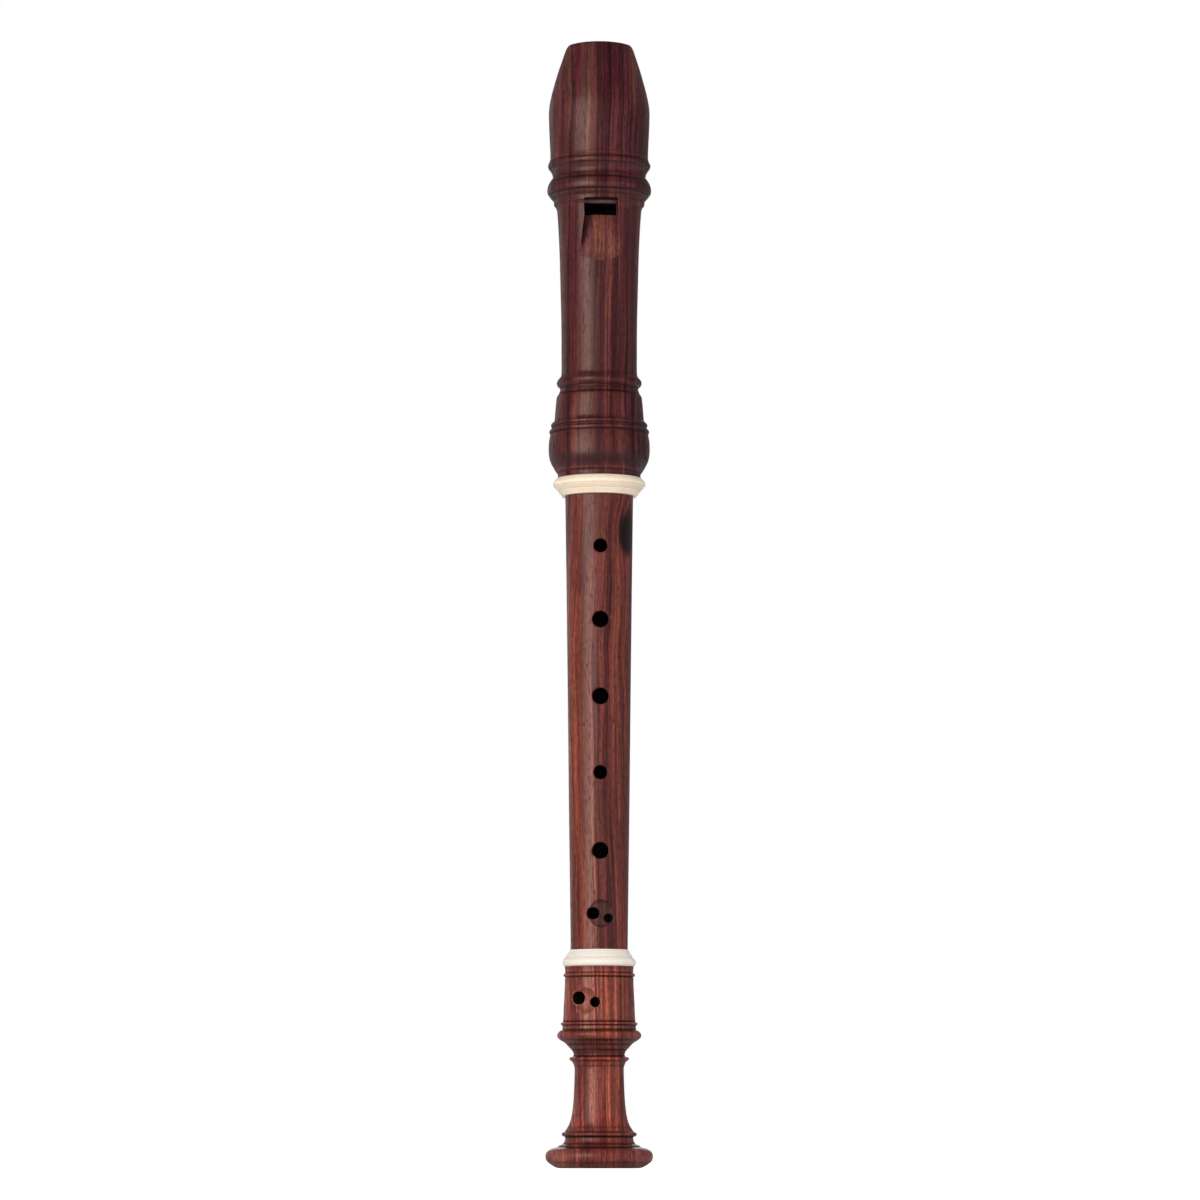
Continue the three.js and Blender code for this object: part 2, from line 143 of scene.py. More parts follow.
def spline(run):
    """Centripetal Catmull-Rom through the points of one smooth run."""
    if len(run) < 3:
        return [tuple(r) for r in run]
    pts = [np.array(p, float) for p in run]
    pts = [2 * pts[0] - pts[1]] + pts + [2 * pts[-1] - pts[-2]]
    out = []
    for i in range(1, len(pts) - 2):
        p0, p1, p2, p3 = pts[i - 1], pts[i], pts[i + 1], pts[i + 2]
        t0 = 0.0
        t1 = t0 + max(1e-4, np.linalg.norm(p1 - p0) ** 0.5)
        t2 = t1 + max(1e-4, np.linalg.norm(p2 - p1) ** 0.5)
        t3 = t2 + max(1e-4, np.linalg.norm(p3 - p2) ** 0.5)
        n = 10
        for k in range(n):
            t = t1 + (t2 - t1) * k / n
            a1 = (t1 - t) / (t1 - t0) * p0 + (t - t0) / (t1 - t0) * p1
            a2 = (t2 - t) / (t2 - t1) * p1 + (t - t1) / (t2 - t1) * p2
            a3 = (t3 - t) / (t3 - t2) * p2 + (t - t2) / (t3 - t2) * p3
            b1 = (t2 - t) / (t2 - t0) * a1 + (t - t0) / (t2 - t0) * a2
            b2 = (t3 - t) / (t3 - t1) * a2 + (t - t1) / (t3 - t1) * a3
            out.append(tuple((t2 - t) / (t2 - t1) * b1 + (t - t1) / (t2 - t1) * b2))
    out.append(tuple(pts[-2]))
    return out


def simplify(pts, tol):
    """Ramer-Douglas-Peucker on an open polyline."""
    pts = [np.array(p, float) for p in pts]
    keep = [False] * len(pts)
    keep[0] = keep[-1] = True
    stack = [(0, len(pts) - 1)]
    while stack:
        a, b = stack.pop()
        if b - a < 2:
            continue
        d = pts[b] - pts[a]
        length = np.linalg.norm(d)
        best, at = -1.0, None
        for i in range(a + 1, b):
            v = pts[i] - pts[a]
            h = abs(d[0] * v[1] - d[1] * v[0]) / length if length > 1e-9 else np.linalg.norm(v)
            if h > best:
                best, at = h, i
        if best > tol:
            keep[at] = True
            stack += [(a, at), (at, b)]
    return [tuple(p) for p, k in zip(pts, keep) if k]


def curve(profile, tol=0.003):
    """A profile with its edges rounded and its smooth runs splined."""
    runs, run = [], []
    marks = []
    for p in profile:
        run.append((p[0], p[1]))
        if len(p) > 2:
            runs.append(run)
            marks.append(0.04 if p[2] == "c" else float(p[2]))
            run = [(p[0], p[1])]
    if len(run) > 1:
        runs.append(run)
        marks.append(None)
    lines = [simplify(spline(r), tol) for r in runs if len(r) > 1 or r is runs[0]]
    sizes = [m for r, m in zip(runs, marks) if len(r) > 1 or r is runs[0]]
    out = list(lines[0])
    for i in range(1, len(lines)):
        nxt = lines[i]
        size = sizes[i - 1]
        if len(out) > 1 and len(nxt) > 1:
            p = out.pop()
            out += fillet(out[-1], p, nxt[1], size)
            out += nxt[1:]
        else:
            out += nxt[1:]
    return out


def corners(pts):
    """Straight-sided points, each with an optional round: [(r, z, size)]. Open polyline."""
    out = [pts[0][:2]]
    for i in range(1, len(pts) - 1):
        size = pts[i][2] if len(pts[i]) > 2 else 0.0
        if size:
            out += fillet(pts[i - 1][:2], pts[i][:2], pts[i + 1][:2], size)
        else:
            out.append(pts[i][:2])
    out.append(pts[-1][:2])
    return [tuple(p) for p in out]


def refine(pts, spacing):
    """Cuts spans longer than spacing(z) allows."""
    out = [pts[0]]
    for a, b in zip(pts, pts[1:]):
        length = math.hypot(b[0] - a[0], b[1] - a[1])
        n = 1
        if length > 1e-6:
            steps = max(2, int(length / 0.1))
            need = sum(length / steps / spacing(a[1] + (b[1] - a[1]) * (k + 0.5) / steps) for k in range(steps))
            n = max(1, math.ceil(need))
        for k in range(1, n + 1):
            out.append((a[0] + (b[0] - a[0]) * k / n, a[1] + (b[1] - a[1]) * k / n))
    return out


# ---------------------------------------------------------------- mesh makers
def new_object(name, verts, faces):
    me = bpy.data.meshes.new(name)
    me.from_pydata([(x * MM, y * MM, z * MM) for x, y, z in verts], [], faces)
    me.validate()
    ob = bpy.data.objects.new(name, me)
    scene.collection.objects.link(ob)
    return ob


def turned(name, loop, segs=SEGS):
    """A ring-shaped solid: the loop (outer side rising) closes on itself."""
    clean = [loop[0]]
    for p in loop[1:]:
        if math.hypot(p[0] - clean[-1][0], p[1] - clean[-1][1]) > 1e-4:
            clean.append(p)
    if math.hypot(clean[0][0] - clean[-1][0], clean[0][1] - clean[-1][1]) < 1e-4:
        clean.pop()
    n = len(clean)
    verts, faces = [], []
    for r, z in clean:
        for j in range(segs):
            a = 2 * math.pi * j / segs
            verts.append((r * math.sin(a), -r * math.cos(a), z))
    for i in range(n):
        i2 = (i + 1) % n
        for j in range(segs):
            j2 = (j + 1) % segs
            faces.append((i * segs + j, i * segs + j2, i2 * segs + j2, i2 * segs + j))
    return new_object(name, verts, faces)


def stacked(name, sections):
    """Sections of the same count of 3-D points, joined, with flat ends."""
    count = len(sections[0])
    verts = [p for s in sections for p in s]
    faces = []
    for k in range(len(sections) - 1):
        for j in range(count):
            a, b = k * count + j, k * count + (j + 1) % count
            faces.append((a, b, b + count, a + count))
    faces.append(tuple(reversed(range(count))))
    faces.append(tuple(range((len(sections) - 1) * count, len(sections) * count)))
    ob = new_object(name, verts, faces)
    bm = bmesh.new()
    bm.from_mesh(ob.data)
    bmesh.ops.recalc_face_normals(bm, faces=bm.faces)
    bm.to_mesh(ob.data)
    bm.free()
    return ob


def joined(name, parts):
    """Several closed shells as one object, for one boolean."""
    verts, faces = [], []
    for ob in parts:
        base = len(verts)
        verts += [v.co / MM for v in ob.data.vertices]
        faces += [tuple(base + i for i in p.vertices) for p in ob.data.polygons]
        bpy.data.objects.remove(ob, do_unlink=True)
    return new_object(name, [tuple(v) for v in verts], faces)


def cut(ob, cutter):
    m = ob.modifiers.new("cut", "BOOLEAN")
    m.object = cutter
    m.operation = "DIFFERENCE"
    m.solver = "EXACT"
    bpy.context.view_layer.update()
    dg = bpy.context.evaluated_depsgraph_get()
    me = bpy.data.meshes.new_from_object(ob.evaluated_get(dg))
    ob.modifiers.clear()
    old = ob.data
    ob.data = me
    bpy.data.meshes.remove(old)
    bpy.data.objects.remove(cutter, do_unlink=True)
    return ob


def finish_mesh(ob, angle=36, classify=None):
    me = ob.data
    bm = bmesh.new()
    bm.from_mesh(me)
    bmesh.ops.remove_doubles(bm, verts=bm.verts, dist=2e-7)
    bmesh.ops.dissolve_degenerate(bm, edges=bm.edges, dist=1e-7)
    bm.to_mesh(me)
    bm.free()
    me.update()
    me.polygons.foreach_set("use_smooth", [True] * len(me.polygons))
    me.set_sharp_from_angle(angle=math.radians(angle))
    if classify is not None:
        index = [classify(p.center / MM, p.normal) for p in me.polygons]
        me.polygons.foreach_set("material_index", index)
    me.update()
    return ob


def groove_marks(ob, line, sigma=0.22, full=0.055):
    """Stores how deep in a groove (+) or how far out on a ridge (-) each point of the turning lies."""
    pts = np.array(line, float)
    seg = np.hypot(*(pts[1:] - pts[:-1]).T)
    at = np.concatenate([[0.0], np.cumsum(seg)])
    ds = 0.04
    t = np.arange(0.0, at[-1], ds)
    r, z = np.interp(t, at, pts[:, 0]), np.interp(t, at, pts[:, 1])
    k = int(4 * sigma / ds)
    w = np.exp(-0.5 * (np.arange(-k, k + 1) * ds / sigma) ** 2)
    w /= w.sum()

    def soft(v):
        lo_pad = 2 * v[0] - v[1:k + 1][::-1]
        hi_pad = 2 * v[-1] - v[-k - 1:-1][::-1]
        return np.convolve(np.concatenate([lo_pad, v, hi_pad]), w, "valid")
    dr, dz = soft(r) - r, soft(z) - z
    tr, tz = np.gradient(soft(r), ds), np.gradient(soft(z), ds)
    length = np.maximum(1e-6, np.hypot(tr, tz))
    cav = np.clip((dr * tz - dz * tr) / length / full, -1.0, 1.0)
    tree = kdtree.KDTree(len(r))
    for i in range(len(r)):
        tree.insert((r[i], z[i], 0.0), i)
    tree.balance()
    me = ob.data
    marks = me.attributes.new("cavity", "FLOAT", "POINT")
    values = []
    for v in me.vertices:
        co, i, d = tree.find((math.hypot(v.co.x, v.co.y) / MM, v.co.z / MM, 0.0))
        values.append(float(cav[i]) if d < 0.12 else 0.0)
    marks.data.foreach_set("value", values)


def drill(z, r, angle, surface, round_edge=0.3, segs=56, top=18.0):
    """A drill from the axis outwards whose mouth is rounded along the surface.
    surface(u) is how far out the surface lies at sideways offset u."""
    e = round_edge
    rings = [(r, None, 0.0), (r, e * 1.0, None)]
    for deg in (15, 30, 45, 60, 74):
        f = math.radians(deg)
        rings.append((r + e - e * math.cos(f), e - e * math.sin(f), None))
    f = math.radians(74)
    last_r, last_d = rings[-1][0], rings[-1][1]
    t = 0.25
    rings.append((last_r + t * math.sin(f), last_d - t * math.cos(f) - 0.02, None))
    rings.append((last_r + t * math.sin(f) + 0.02, None, top))
    sections = []
    a = math.radians(angle)
    n, side = (math.sin(a), -math.cos(a)), (math.cos(a), math.sin(a))
    for rho, depth, absolute in rings:
        ring = []
        for j in range(segs):
            b = 2 * math.pi * j / segs
            u, v = rho * math.cos(b), rho * math.sin(b)
            s = absolute if depth is None else surface(u) - depth
            ring.append((u * side[0] + s * n[0], u * side[1] + s * n[1], z + v))
        sections.append(ring)
    return stacked("drill", sections)


def spot_face(z, r, angle, depth, corner=0.5, segs=72, top=18.0):
    """A bull-nosed cutter for a round flat-bottomed recess."""
    a = math.radians(angle)
    n, side = (math.sin(a), -math.cos(a)), (math.cos(a), math.sin(a))
    rings = [(0.02, depth), (r - corner, depth)]
    for deg in (22.5, 45, 67.5, 90):
        f = math.radians(deg)
        rings.append((r - corner + corner * math.sin(f), depth + corner - corner * math.cos(f)))
    rings.append((r + 0.12, top))
    sections = []
    for rho, s in rings:
        sections.append([
            (rho * math.cos(2 * math.pi * j / segs) * side[0] + s * n[0],
             rho * math.cos(2 * math.pi * j / segs) * side[1] + s * n[1],
             z + rho * math.sin(2 * math.pi * j / segs)) for j in range(segs)])
    return stacked("spot", sections)


def arc_points(half, depth, radius, steps=28):
    """x from +half to -half along an arc bulging to -Y."""
    out = []
    for i in range(steps + 1):
        x = half - 2 * half * i / steps
        out.append((x, -depth + radius - math.sqrt(radius * radius - x * x)))
    return out


def lerp(a, b, t):
    return a + (b - a) * t


# ------------------------------------------------------------------ the head
def beak_curve(steps=44):
    """The undercut's line in the plane x = 0, from the lip down to the heel: [(y, z)]."""
    p0, p1, p2 = (-3.0, 331.0), (-1.2, 309.0), (17.5, 297.6)
    out = []
    for i in range(steps + 1):
        t = i / steps
        y = (1 - t) ** 2 * p0[0] + 2 * t * (1 - t) * p1[0] + t * t * p2[0]
        z = (1 - t) ** 2 * p0[1] + 2 * t * (1 - t) * p1[1] + t * t * p2[1]
        out.append((y, z))
    # the lip's own round edge
    head = []
    for y, z in out:
        if z > 328.8:
            k = min(1.0, (z - 328.8) / 1.25)
            y -= 1.25 * (1 - math.sqrt(max(0.0, 1 - k * k)))
        head.append((y, z))
    return head


def outer_radius(z, line):
    best = None
    for (r1, z1), (r2, z2) in zip(line, line[1:]):
        if min(z1, z2) <= z <= max(z1, z2) and abs(z2 - z1) > 1e-9:
            r = r1 + (r2 - r1) * (z - z1) / (z2 - z1)
            best = r if best is None else max(best, r)
    return best if best is not None else line[-1][0]


head_line = curve(HEAD_OUT)


def beak_cutter(grow=0.0):
    """Everything behind the beak's undercut, its side edges rounded off."""
    line = beak_curve()
    e = 0.75
    ts = [-1, -0.99, -0.975, -0.955, -0.93, -0.9, -0.86, -0.8, -0.6, -0.3, 0.0]
    ts = ts + [-t for t in reversed(ts[:-1])]
    sections = []
    for i, (y, z) in enumerate(line):
        y2, z2 = line[min(i + 1, len(line) - 1)]
        y1, z1 = line[max(i - 1, 0)]
        tl = math.hypot(y2 - y1, z2 - z1)
        ny, nz = -(z2 - z1) / tl, (y2 - y1) / tl          # out of the wood: +Y, +Z
        if ny < 0:
            ny, nz = -ny, -nz
        r = outer_radius(min(z, 329.9), head_line)
        w = math.sqrt(max(0.5, r * r - y * y)) if abs(y) < r else 1.5
        row = []
        for t in ts:
            x = t * w
            over = abs(x) - (w - e)
            drop = e - math.sqrt(max(0.0, e * e - min(over, e * 0.97) ** 2)) if over > 0 else 0.0
            row.append((x, y - ny * drop, z - nz * drop))
        # run on outwards past the wood, level with the edge's own slope
        first, final = row[0], row[-1]
        left = (-24.0, first[1] - ny * 3.0, first[2] - nz * 3.0)
        right = (24.0, final[1] - ny * 3.0, final[2] - nz * 3.0)
        far = 40.0
        sections.append([(-24.0, far, left[2]), left] + row + [right, (24.0, far, right[2])])
    # lift the first section well above the mouth end
    top = [(x, y, 336.0) for x, y, z in sections[0]]
    ob = stacked("beak_cut", [top] + sections)
    return ob


def windway_cutter():
    def sec(z, half, depth, inner=-2.5):
        pts = arc_points(half, depth, 11.0)
        return [(-half, inner, z)] + [(x, y, z) for x, y in reversed(pts)] + [(half, inner, z)]
    return stacked("windway", [
        sec(266.0, 4.7, 5.9), sec(272.0, 4.7, 6.3), sec(278.6, 4.7, 6.6), sec(281.4, 4.7, 6.6),
        sec(282.6, 4.7, 6.6), sec(300.0, 4.95, 6.8), sec(320.0, 5.25, 7.0), sec(328.6, 5.4, 7.1),
        sec(329.4, 5.5, 7.25), sec(331.0, 5.9, 7.7)])


def window_cutter():
    rows = [(-22.0, 5.02, 282.78), (-13.4, 4.98, 282.74), (-9.9, 4.88, 282.62), (-9.6, 4.86, 282.52),
            (-8.95, 4.76, 281.78), (-8.8, 4.74, 281.70), (-6.2, 4.72, 281.70), (-3.0, 4.72, 281.7)]
    lo = 278.58
    sections = [[(-w, y, lo), (w, y, lo), (w, y, top), (-w, y, top)] for y, w, top in rows]
    return stacked("window", sections)


def ramp_cutter():
    def sec(z):
        t = (278.6 - z) / (278.6 - 264.1)
        half = lerp(4.75, 6.45, t)
        depth = 6.86 + 4.8 * (max(0.0, t) ** 0.86 if t > 0 else t)
        pts = arc_points(half, depth, lerp(11.0, 17.0, min(1.0, max(0.0, t * 1.5))))
        flare = 0.35 * max(0.0, t)
        return [(-half - flare, -22.0, z), (half + flare, -22.0, z)] + [(x, y, z) for x, y in pts]
    zs = [262.4, 263.2, 264.1, 266, 268, 270, 272, 274, 276, 277.4, 278.62]
    return stacked("ramp", [sec(z) for z in zs])


def window_spacing(z):
    if 260.5 < z < 284.5:
        return 0.5
    if 297 < z < 330:
        return 0.7
    return 1.8


head_inner = corners([
    (9.2, 330.0), (6.9, 330.0, 0.25), (6.6, 329.7), (6.6, 221.0, 0.05), (8.3, 220.9, 0.1), (8.8, 220.4),
    (8.8, 197.9, 0.1), (8.95, 197.6, 0.05), (10.05, 197.6, 0.1), (10.2, 197.8, 0.1), (10.2, 201.3, 0.05),
    (12.22, 201.3)])
head = turned("head_joint_wood", refine(head_line, window_spacing) + refine(head_inner, lambda z: 6.0)[1:])
cut(head, ramp_cutter())
cut(head, window_cutter())
cut(head, windway_cutter())
cut(head, beak_cutter())


def head_zone(c, n):
    """0 turned outside, 1 bore and socket, 2 ramp and window walls, 3 windway, 4 the bevel at its exit"""
    r = math.hypot(c.x, c.y)
    if c.z > 297 and c.y > -4.2:
        inside = r < 6.75
        return 1 if inside and n.y * c.y + n.x * c.x < 0 and abs(r - 6.6) < 0.06 else 0
    if 261 < c.z < 283 and c.y < -4 and abs(c.x) < 7.6:
        if 281.6 < c.z < 282.6 and -9.75 < c.y < -8.85 and abs(n.x) < 0.5:
            return 4
        # painted shade: the window's downward-facing top wall takes the near-black bore wood
        if r < 6.75 or (c.z > 278.7 and abs(n.z) > 0.6 and r < outer_radius(c.z, head_line) - 0.05):
            return 1
        if r < outer_radius(c.z, head_line) - 0.05 or abs(n.z) > 0.8:
            return 2
        return 0
    if c.z > 281.5 and c.y < -4 and abs(c.x) < 5.6 and r < 8.6 and abs(n.z) < 0.5 and r < outer_radius(min(c.z, 329.9), head_line) - 0.5:
        return 3
    if c.z < 201.35 and r < 10.35:
        return 1
    if r < 9.0 and c.z < 329.6:
        return 1
    return 0


finish_mesh(head, classify=head_zone)
groove_marks(head, head_line)

# --------------------------------------------------------------- the block
block_loop = corners([(6.05, 282.1), (6.25, 282.1, 0.1), (6.55, 282.5, 0.1), (6.55, 329.6, 0.1), (6.45, 330.0)])
block_segs = 128
rows = refine(block_loop, lambda z: 1.0)
bv, bf = [], []
for r, z in rows:
    for j in range(block_segs):
        a = 2 * math.pi * j / block_segs
        bv.append((r * math.sin(a), -r * math.cos(a), z))
for i in range(len(rows) - 1):
    for j in range(block_segs):
        j2 = (j + 1) % block_segs
        bf.append((i * block_segs + j, i * block_segs + j2, (i + 1) * block_segs + j2, (i + 1) * block_segs + j))
bf.append(tuple(reversed(range(block_segs))))
bf.append(tuple(range((len(rows) - 1) * block_segs, len(rows) * block_segs)))
block = new_object("block_cedar", bv, bf)


def floor_cutter():
    def sec(z, depth):
        pts = arc_points(5.0, depth, 10.0)
        return [(-5.0, -12.0, z), (5.0, -12.0, z)] + [(x, y, z) for x, y in pts]
    return stacked("floor", [
        sec(281.0, 4.1), sec(282.05, 4.9), sec(282.9, 5.6), sec(300.0, 5.6), sec(328.9, 5.6),
        sec(329.6, 5.45), sec(331.0, 4.9)])


cut(block, floor_cutter())
cut(block, beak_cutter())
# painted shade: the block's downward-facing end takes near-black wood
finish_mesh(block, classify=lambda c, n: 1 if c.z < 284.5 and n.z < -0.3 else 0)

# ------------------------------------------------------- middle and foot joint
FINGER_HOLES = [
    (180.5, 2.02, 0.0), (158.95, 2.38, 0.0), (136.5, 2.38, 0.0), (114.3, 1.98, 0.0), (91.6, 2.38, 0.0)]


def hole_spacing(zs, base=2.4, fine=0.42, reach=4.4):
    def spacing(z):
        return fine if any(abs(z - h) < reach for h in zs) else base
    return spacing


middle_line = curve(MIDDLE_OUT)
middle_inner = corners([
    (9.97, 195.8), (8.62, 195.8, 0.06), (8.55, 196.0, 0.05), (8.55, 201.5, 0.05), (7.6, 201.5, 0.05), (7.6, 216.0, 0.05),
    (8.55, 216.0, 0.08), (8.55, 220.0, 0.15), (8.15, 220.5, 0.15), (6.6, 220.5, 0.2), (6.3, 220.1, 0.1),
    (6.1, 180.0), (5.6, 120.0), (4.95, 60.0), (4.8, 52.8, 0.1), (5.0, 52.4, 0.1), (6.95, 52.4, 0.1),
    (7.3, 52.8, 0.1), (7.3, 54.5, 0.08), (6.5, 54.5, 0.05), (6.5, 60.0, 0.05), (7.3, 60.0, 0.08),
    (7.3, 63.0, 0.05), (7.35, 63.2, 0.05), (8.34, 63.2)])
middle_rows = refine(middle_line, hole_spacing([h[0] for h in FINGER_HOLES] + [73.3, 188.4]))
middle = turned("middle_joint_wood", middle_rows + refine(middle_inner, lambda z: 8.0)[1:])


def round_surface(radius):
    return lambda u: math.sqrt(max(0.01, radius * radius - u * u))


drills = [drill(z, r, a, round_surface(outer_radius(z, middle_line)), 0.28) for z, r, a in FINGER_HOLES]
drills.append(drill(188.4, 2.45, 180.0, round_surface(outer_radius(188.4, middle_line)), 0.35))
cut(middle, joined("drills", drills))

REC_A, REC_DEPTH, REC_R, REC_Z = 1.2, 7.36, 4.02, 73.35
cut(middle, spot_face(REC_Z, REC_R + 0.1, REC_A, REC_DEPTH, corner=1.5))


def flat_surface(radius, depth, angle):
    """Distance out along a drill turned by angle from a flat at depth, inside a round of that radius."""
    a = math.radians(angle)

    def f(u):
        flat = (depth + u * math.sin(a)) / math.cos(a)
        return min(flat, math.sqrt(max(0.01, radius * radius - u * u)))
    return f


r6 = outer_radius(73.3, middle_line)
cut(middle, drill(73.45, 1.76, -15.9, flat_surface(r6, REC_DEPTH, -15.9 - REC_A), 0.14, segs=48))
cut(middle, drill(72.05, 1.31, 18.3, flat_surface(r6, REC_DEPTH, 18.3 - REC_A), 0.12, segs=40))


def in_drill(c, holes, slack=0.03):
    """True where a face lies on the straight wall of one of the drilled holes."""
    for z, r, angle in holes:
        a = math.radians(angle)
        if c.x * math.sin(a) - c.y * math.cos(a) > 0:
            if math.hypot(c.x * math.cos(a) + c.y * math.sin(a), c.z - z) < r + slack:
                return True
    return False


def in_recess(c, n, z, angle, reach, line):
    """True on the milled floor round a double hole."""
    a = math.radians(angle)
    if c.x * math.sin(a) - c.y * math.cos(a) < 0 or math.hypot(c.x * math.cos(a) + c.y * math.sin(a), c.z - z) > reach:
        return False
    return math.hypot(c.x, c.y) < outer_radius(c.z, line) - 0.03


def tube_zone(line, lo, hi):
    def zone(c, n):
        r = math.hypot(c.x, c.y)
        if c.z < lo or c.z > hi:
            return 1 if r < 7.2 and c.x * n.x + c.y * n.y < -0.1 * r else 0
        # painted shade: the drilled hole walls take the near-black bore wood too
        if r < 6.6 or in_drill(c, MIDDLE_DRILLS):
            return 1
        return 2 if in_recess(c, n, REC_Z, REC_A, 4.4, line) else 0
    return zone


MIDDLE_DRILLS = FINGER_HOLES + [(188.4, 2.45, 180.0), (73.45, 1.76, -15.9), (72.05, 1.31, 18.3)]
finish_mesh(middle, classify=tube_zone(middle_line, 63.3, 195.7))

foot_line = curve(FOOT_OUT)
foot_inner = corners([
    (10.02, 58.2), (8.58, 58.2, 0.05), (8.5, 58.35, 0.05), (8.5, 61.3, 0.1), (8.35, 61.5, 0.05), (7.7, 61.5, 0.05),
    (7.6, 61.3, 0.05), (7.6, 52.1, 0.1), (7.4, 52.0, 0.05), (4.9, 52.0, 0.1), (4.95, 40.0), (5.0, 30.0),
    (5.2, 12.0), (5.45, 1.2, 0.3), (6.3, 0.0, 0.2), (11.5, 0.0)])
foot_rows = refine(foot_line, hole_spacing([48.6], base=1.6, fine=0.42, reach=5.2))
foot = turned("foot_joint_wood", foot_rows + refine(foot_inner, lambda z: 6.0)[1:])
FREC_A, FREC_DEPTH, FREC_R, FREC_Z = -24.5, 9.30, 5.0, 48.4
cut(foot, spot_face(FREC_Z, FREC_R, FREC_A, FREC_DEPTH, corner=3.5))
r7 = outer_radius(48.4, foot_line)
cut(foot, drill(48.98, 1.90, -41.0, flat_surface(r7, FREC_DEPTH, -41.0 - FREC_A), 0.24, segs=56))
cut(foot, drill(47.75, 1.48, -9.6, flat_surface(r7, FREC_DEPTH, -9.6 - FREC_A), 0.22, segs=48))


def foot_zone(c, n):
    r = math.hypot(c.x, c.y)
    if c.z > 58.25:
        return 1 if r < 8.0 else 0
    if c.z < 0.9:
        return 1 if r < 6.2 else 0
    # painted shade: the drilled hole walls take the near-black bore wood too
    if r < outer_radius(c.z, foot_line) - 1.5 or in_drill(c, [(48.98, 1.90, -41.0), (47.75, 1.48, -9.6)]):
        return 1
    # painted highlight: the rounded mouths of the foot holes take a lighter wood
    if in_drill(c, [(48.98, 1.90, -41.0), (47.75, 1.48, -9.6)], 0.27):
        return 3
    return 2 if 43.5 < c.z < 53.5 and in_recess(c, n, FREC_Z, FREC_A, 5.0, foot_line) else 0


finish_mesh(foot, classify=foot_zone)
groove_marks(foot, foot_line)

# ------------------------------------------------------------ rings and corks
head_ring_line = curve(HEAD_RING_OUT)
head_ring = turned("head_ring_ivory", head_ring_line + corners([
    (12.36, 201.2), (10.4, 201.2, 0.1), (10.3, 201.0), (10.3, 197.5, 0.05), (8.95, 197.5, 0.08), (8.85, 197.3),
    (8.85, 196.15, 0.1), (9.05, 195.9, 0.1), (10.95, 195.9)])[1:], segs=224)
finish_mesh(head_ring)
groove_marks(head_ring, head_ring_line)

foot_ring_line = curve(FOOT_RING_OUT)
foot_ring = turned("foot_ring_ivory", foot_ring_line + corners([
    (8.60, 63.1), (7.85, 63.1, 0.1), (7.65, 62.9, 0.1), (7.65, 61.7, 0.05), (7.75, 61.6, 0.05), (8.6, 61.6, 0.05),
    (8.6, 58.4, 0.05), (8.7, 58.3, 0.05), (10.12, 58.3)])[1:], segs=224)
finish_mesh(foot_ring)
groove_marks(foot_ring, foot_ring_line)


def cork(name, inner, outer, lo, hi, seed):
    """A lapped cork sleeve, slightly barrelled, with a soft uneven skin."""
    segs = 160
    n = max(18, int((hi - lo) / 0.35))
    loop = []
    for i in range(n + 1):
        t = i / n
        edge = min(t, 1 - t) * (hi - lo)
        drop = 0.22 * max(0.0, 1 - edge / 0.6) ** 2
        loop.append((outer - drop, lo + (hi - lo) * t))
    loop += [(inner, hi), (inner, lo)]
    ob = turned(name, loop, segs=segs)
    rng = np.random.default_rng(seed)
    waves = [(rng.integers(3, 15), rng.uniform(0.4, 2.2), rng.uniform(0, 6.28), rng.uniform(0.3, 1.0)) for _ in range(14)]
    for v in ob.data.vertices:
        r = math.hypot(v.co.x, v.co.y) / MM
        if r > inner + 0.4:
            a, z = math.atan2(v.co.x, -v.co.y), v.co.z / MM
            w = sum(s * math.sin(k * a + q * z + p) for k, q, p, s in waves) / 14
            k = (r - 0.035 + 0.05 * w) / r
            v.co.x *= k
            v.co.y *= k
    return finish_mesh(ob)


upper_cork = cork("upper_tenon_cork_sleeve", 7.7, 8.70, 201.7, 215.8, 5)
lower_cork = cork("lower_tenon_cork_sleeve", 6.6, 7.50, 54.7, 59.8, 9)


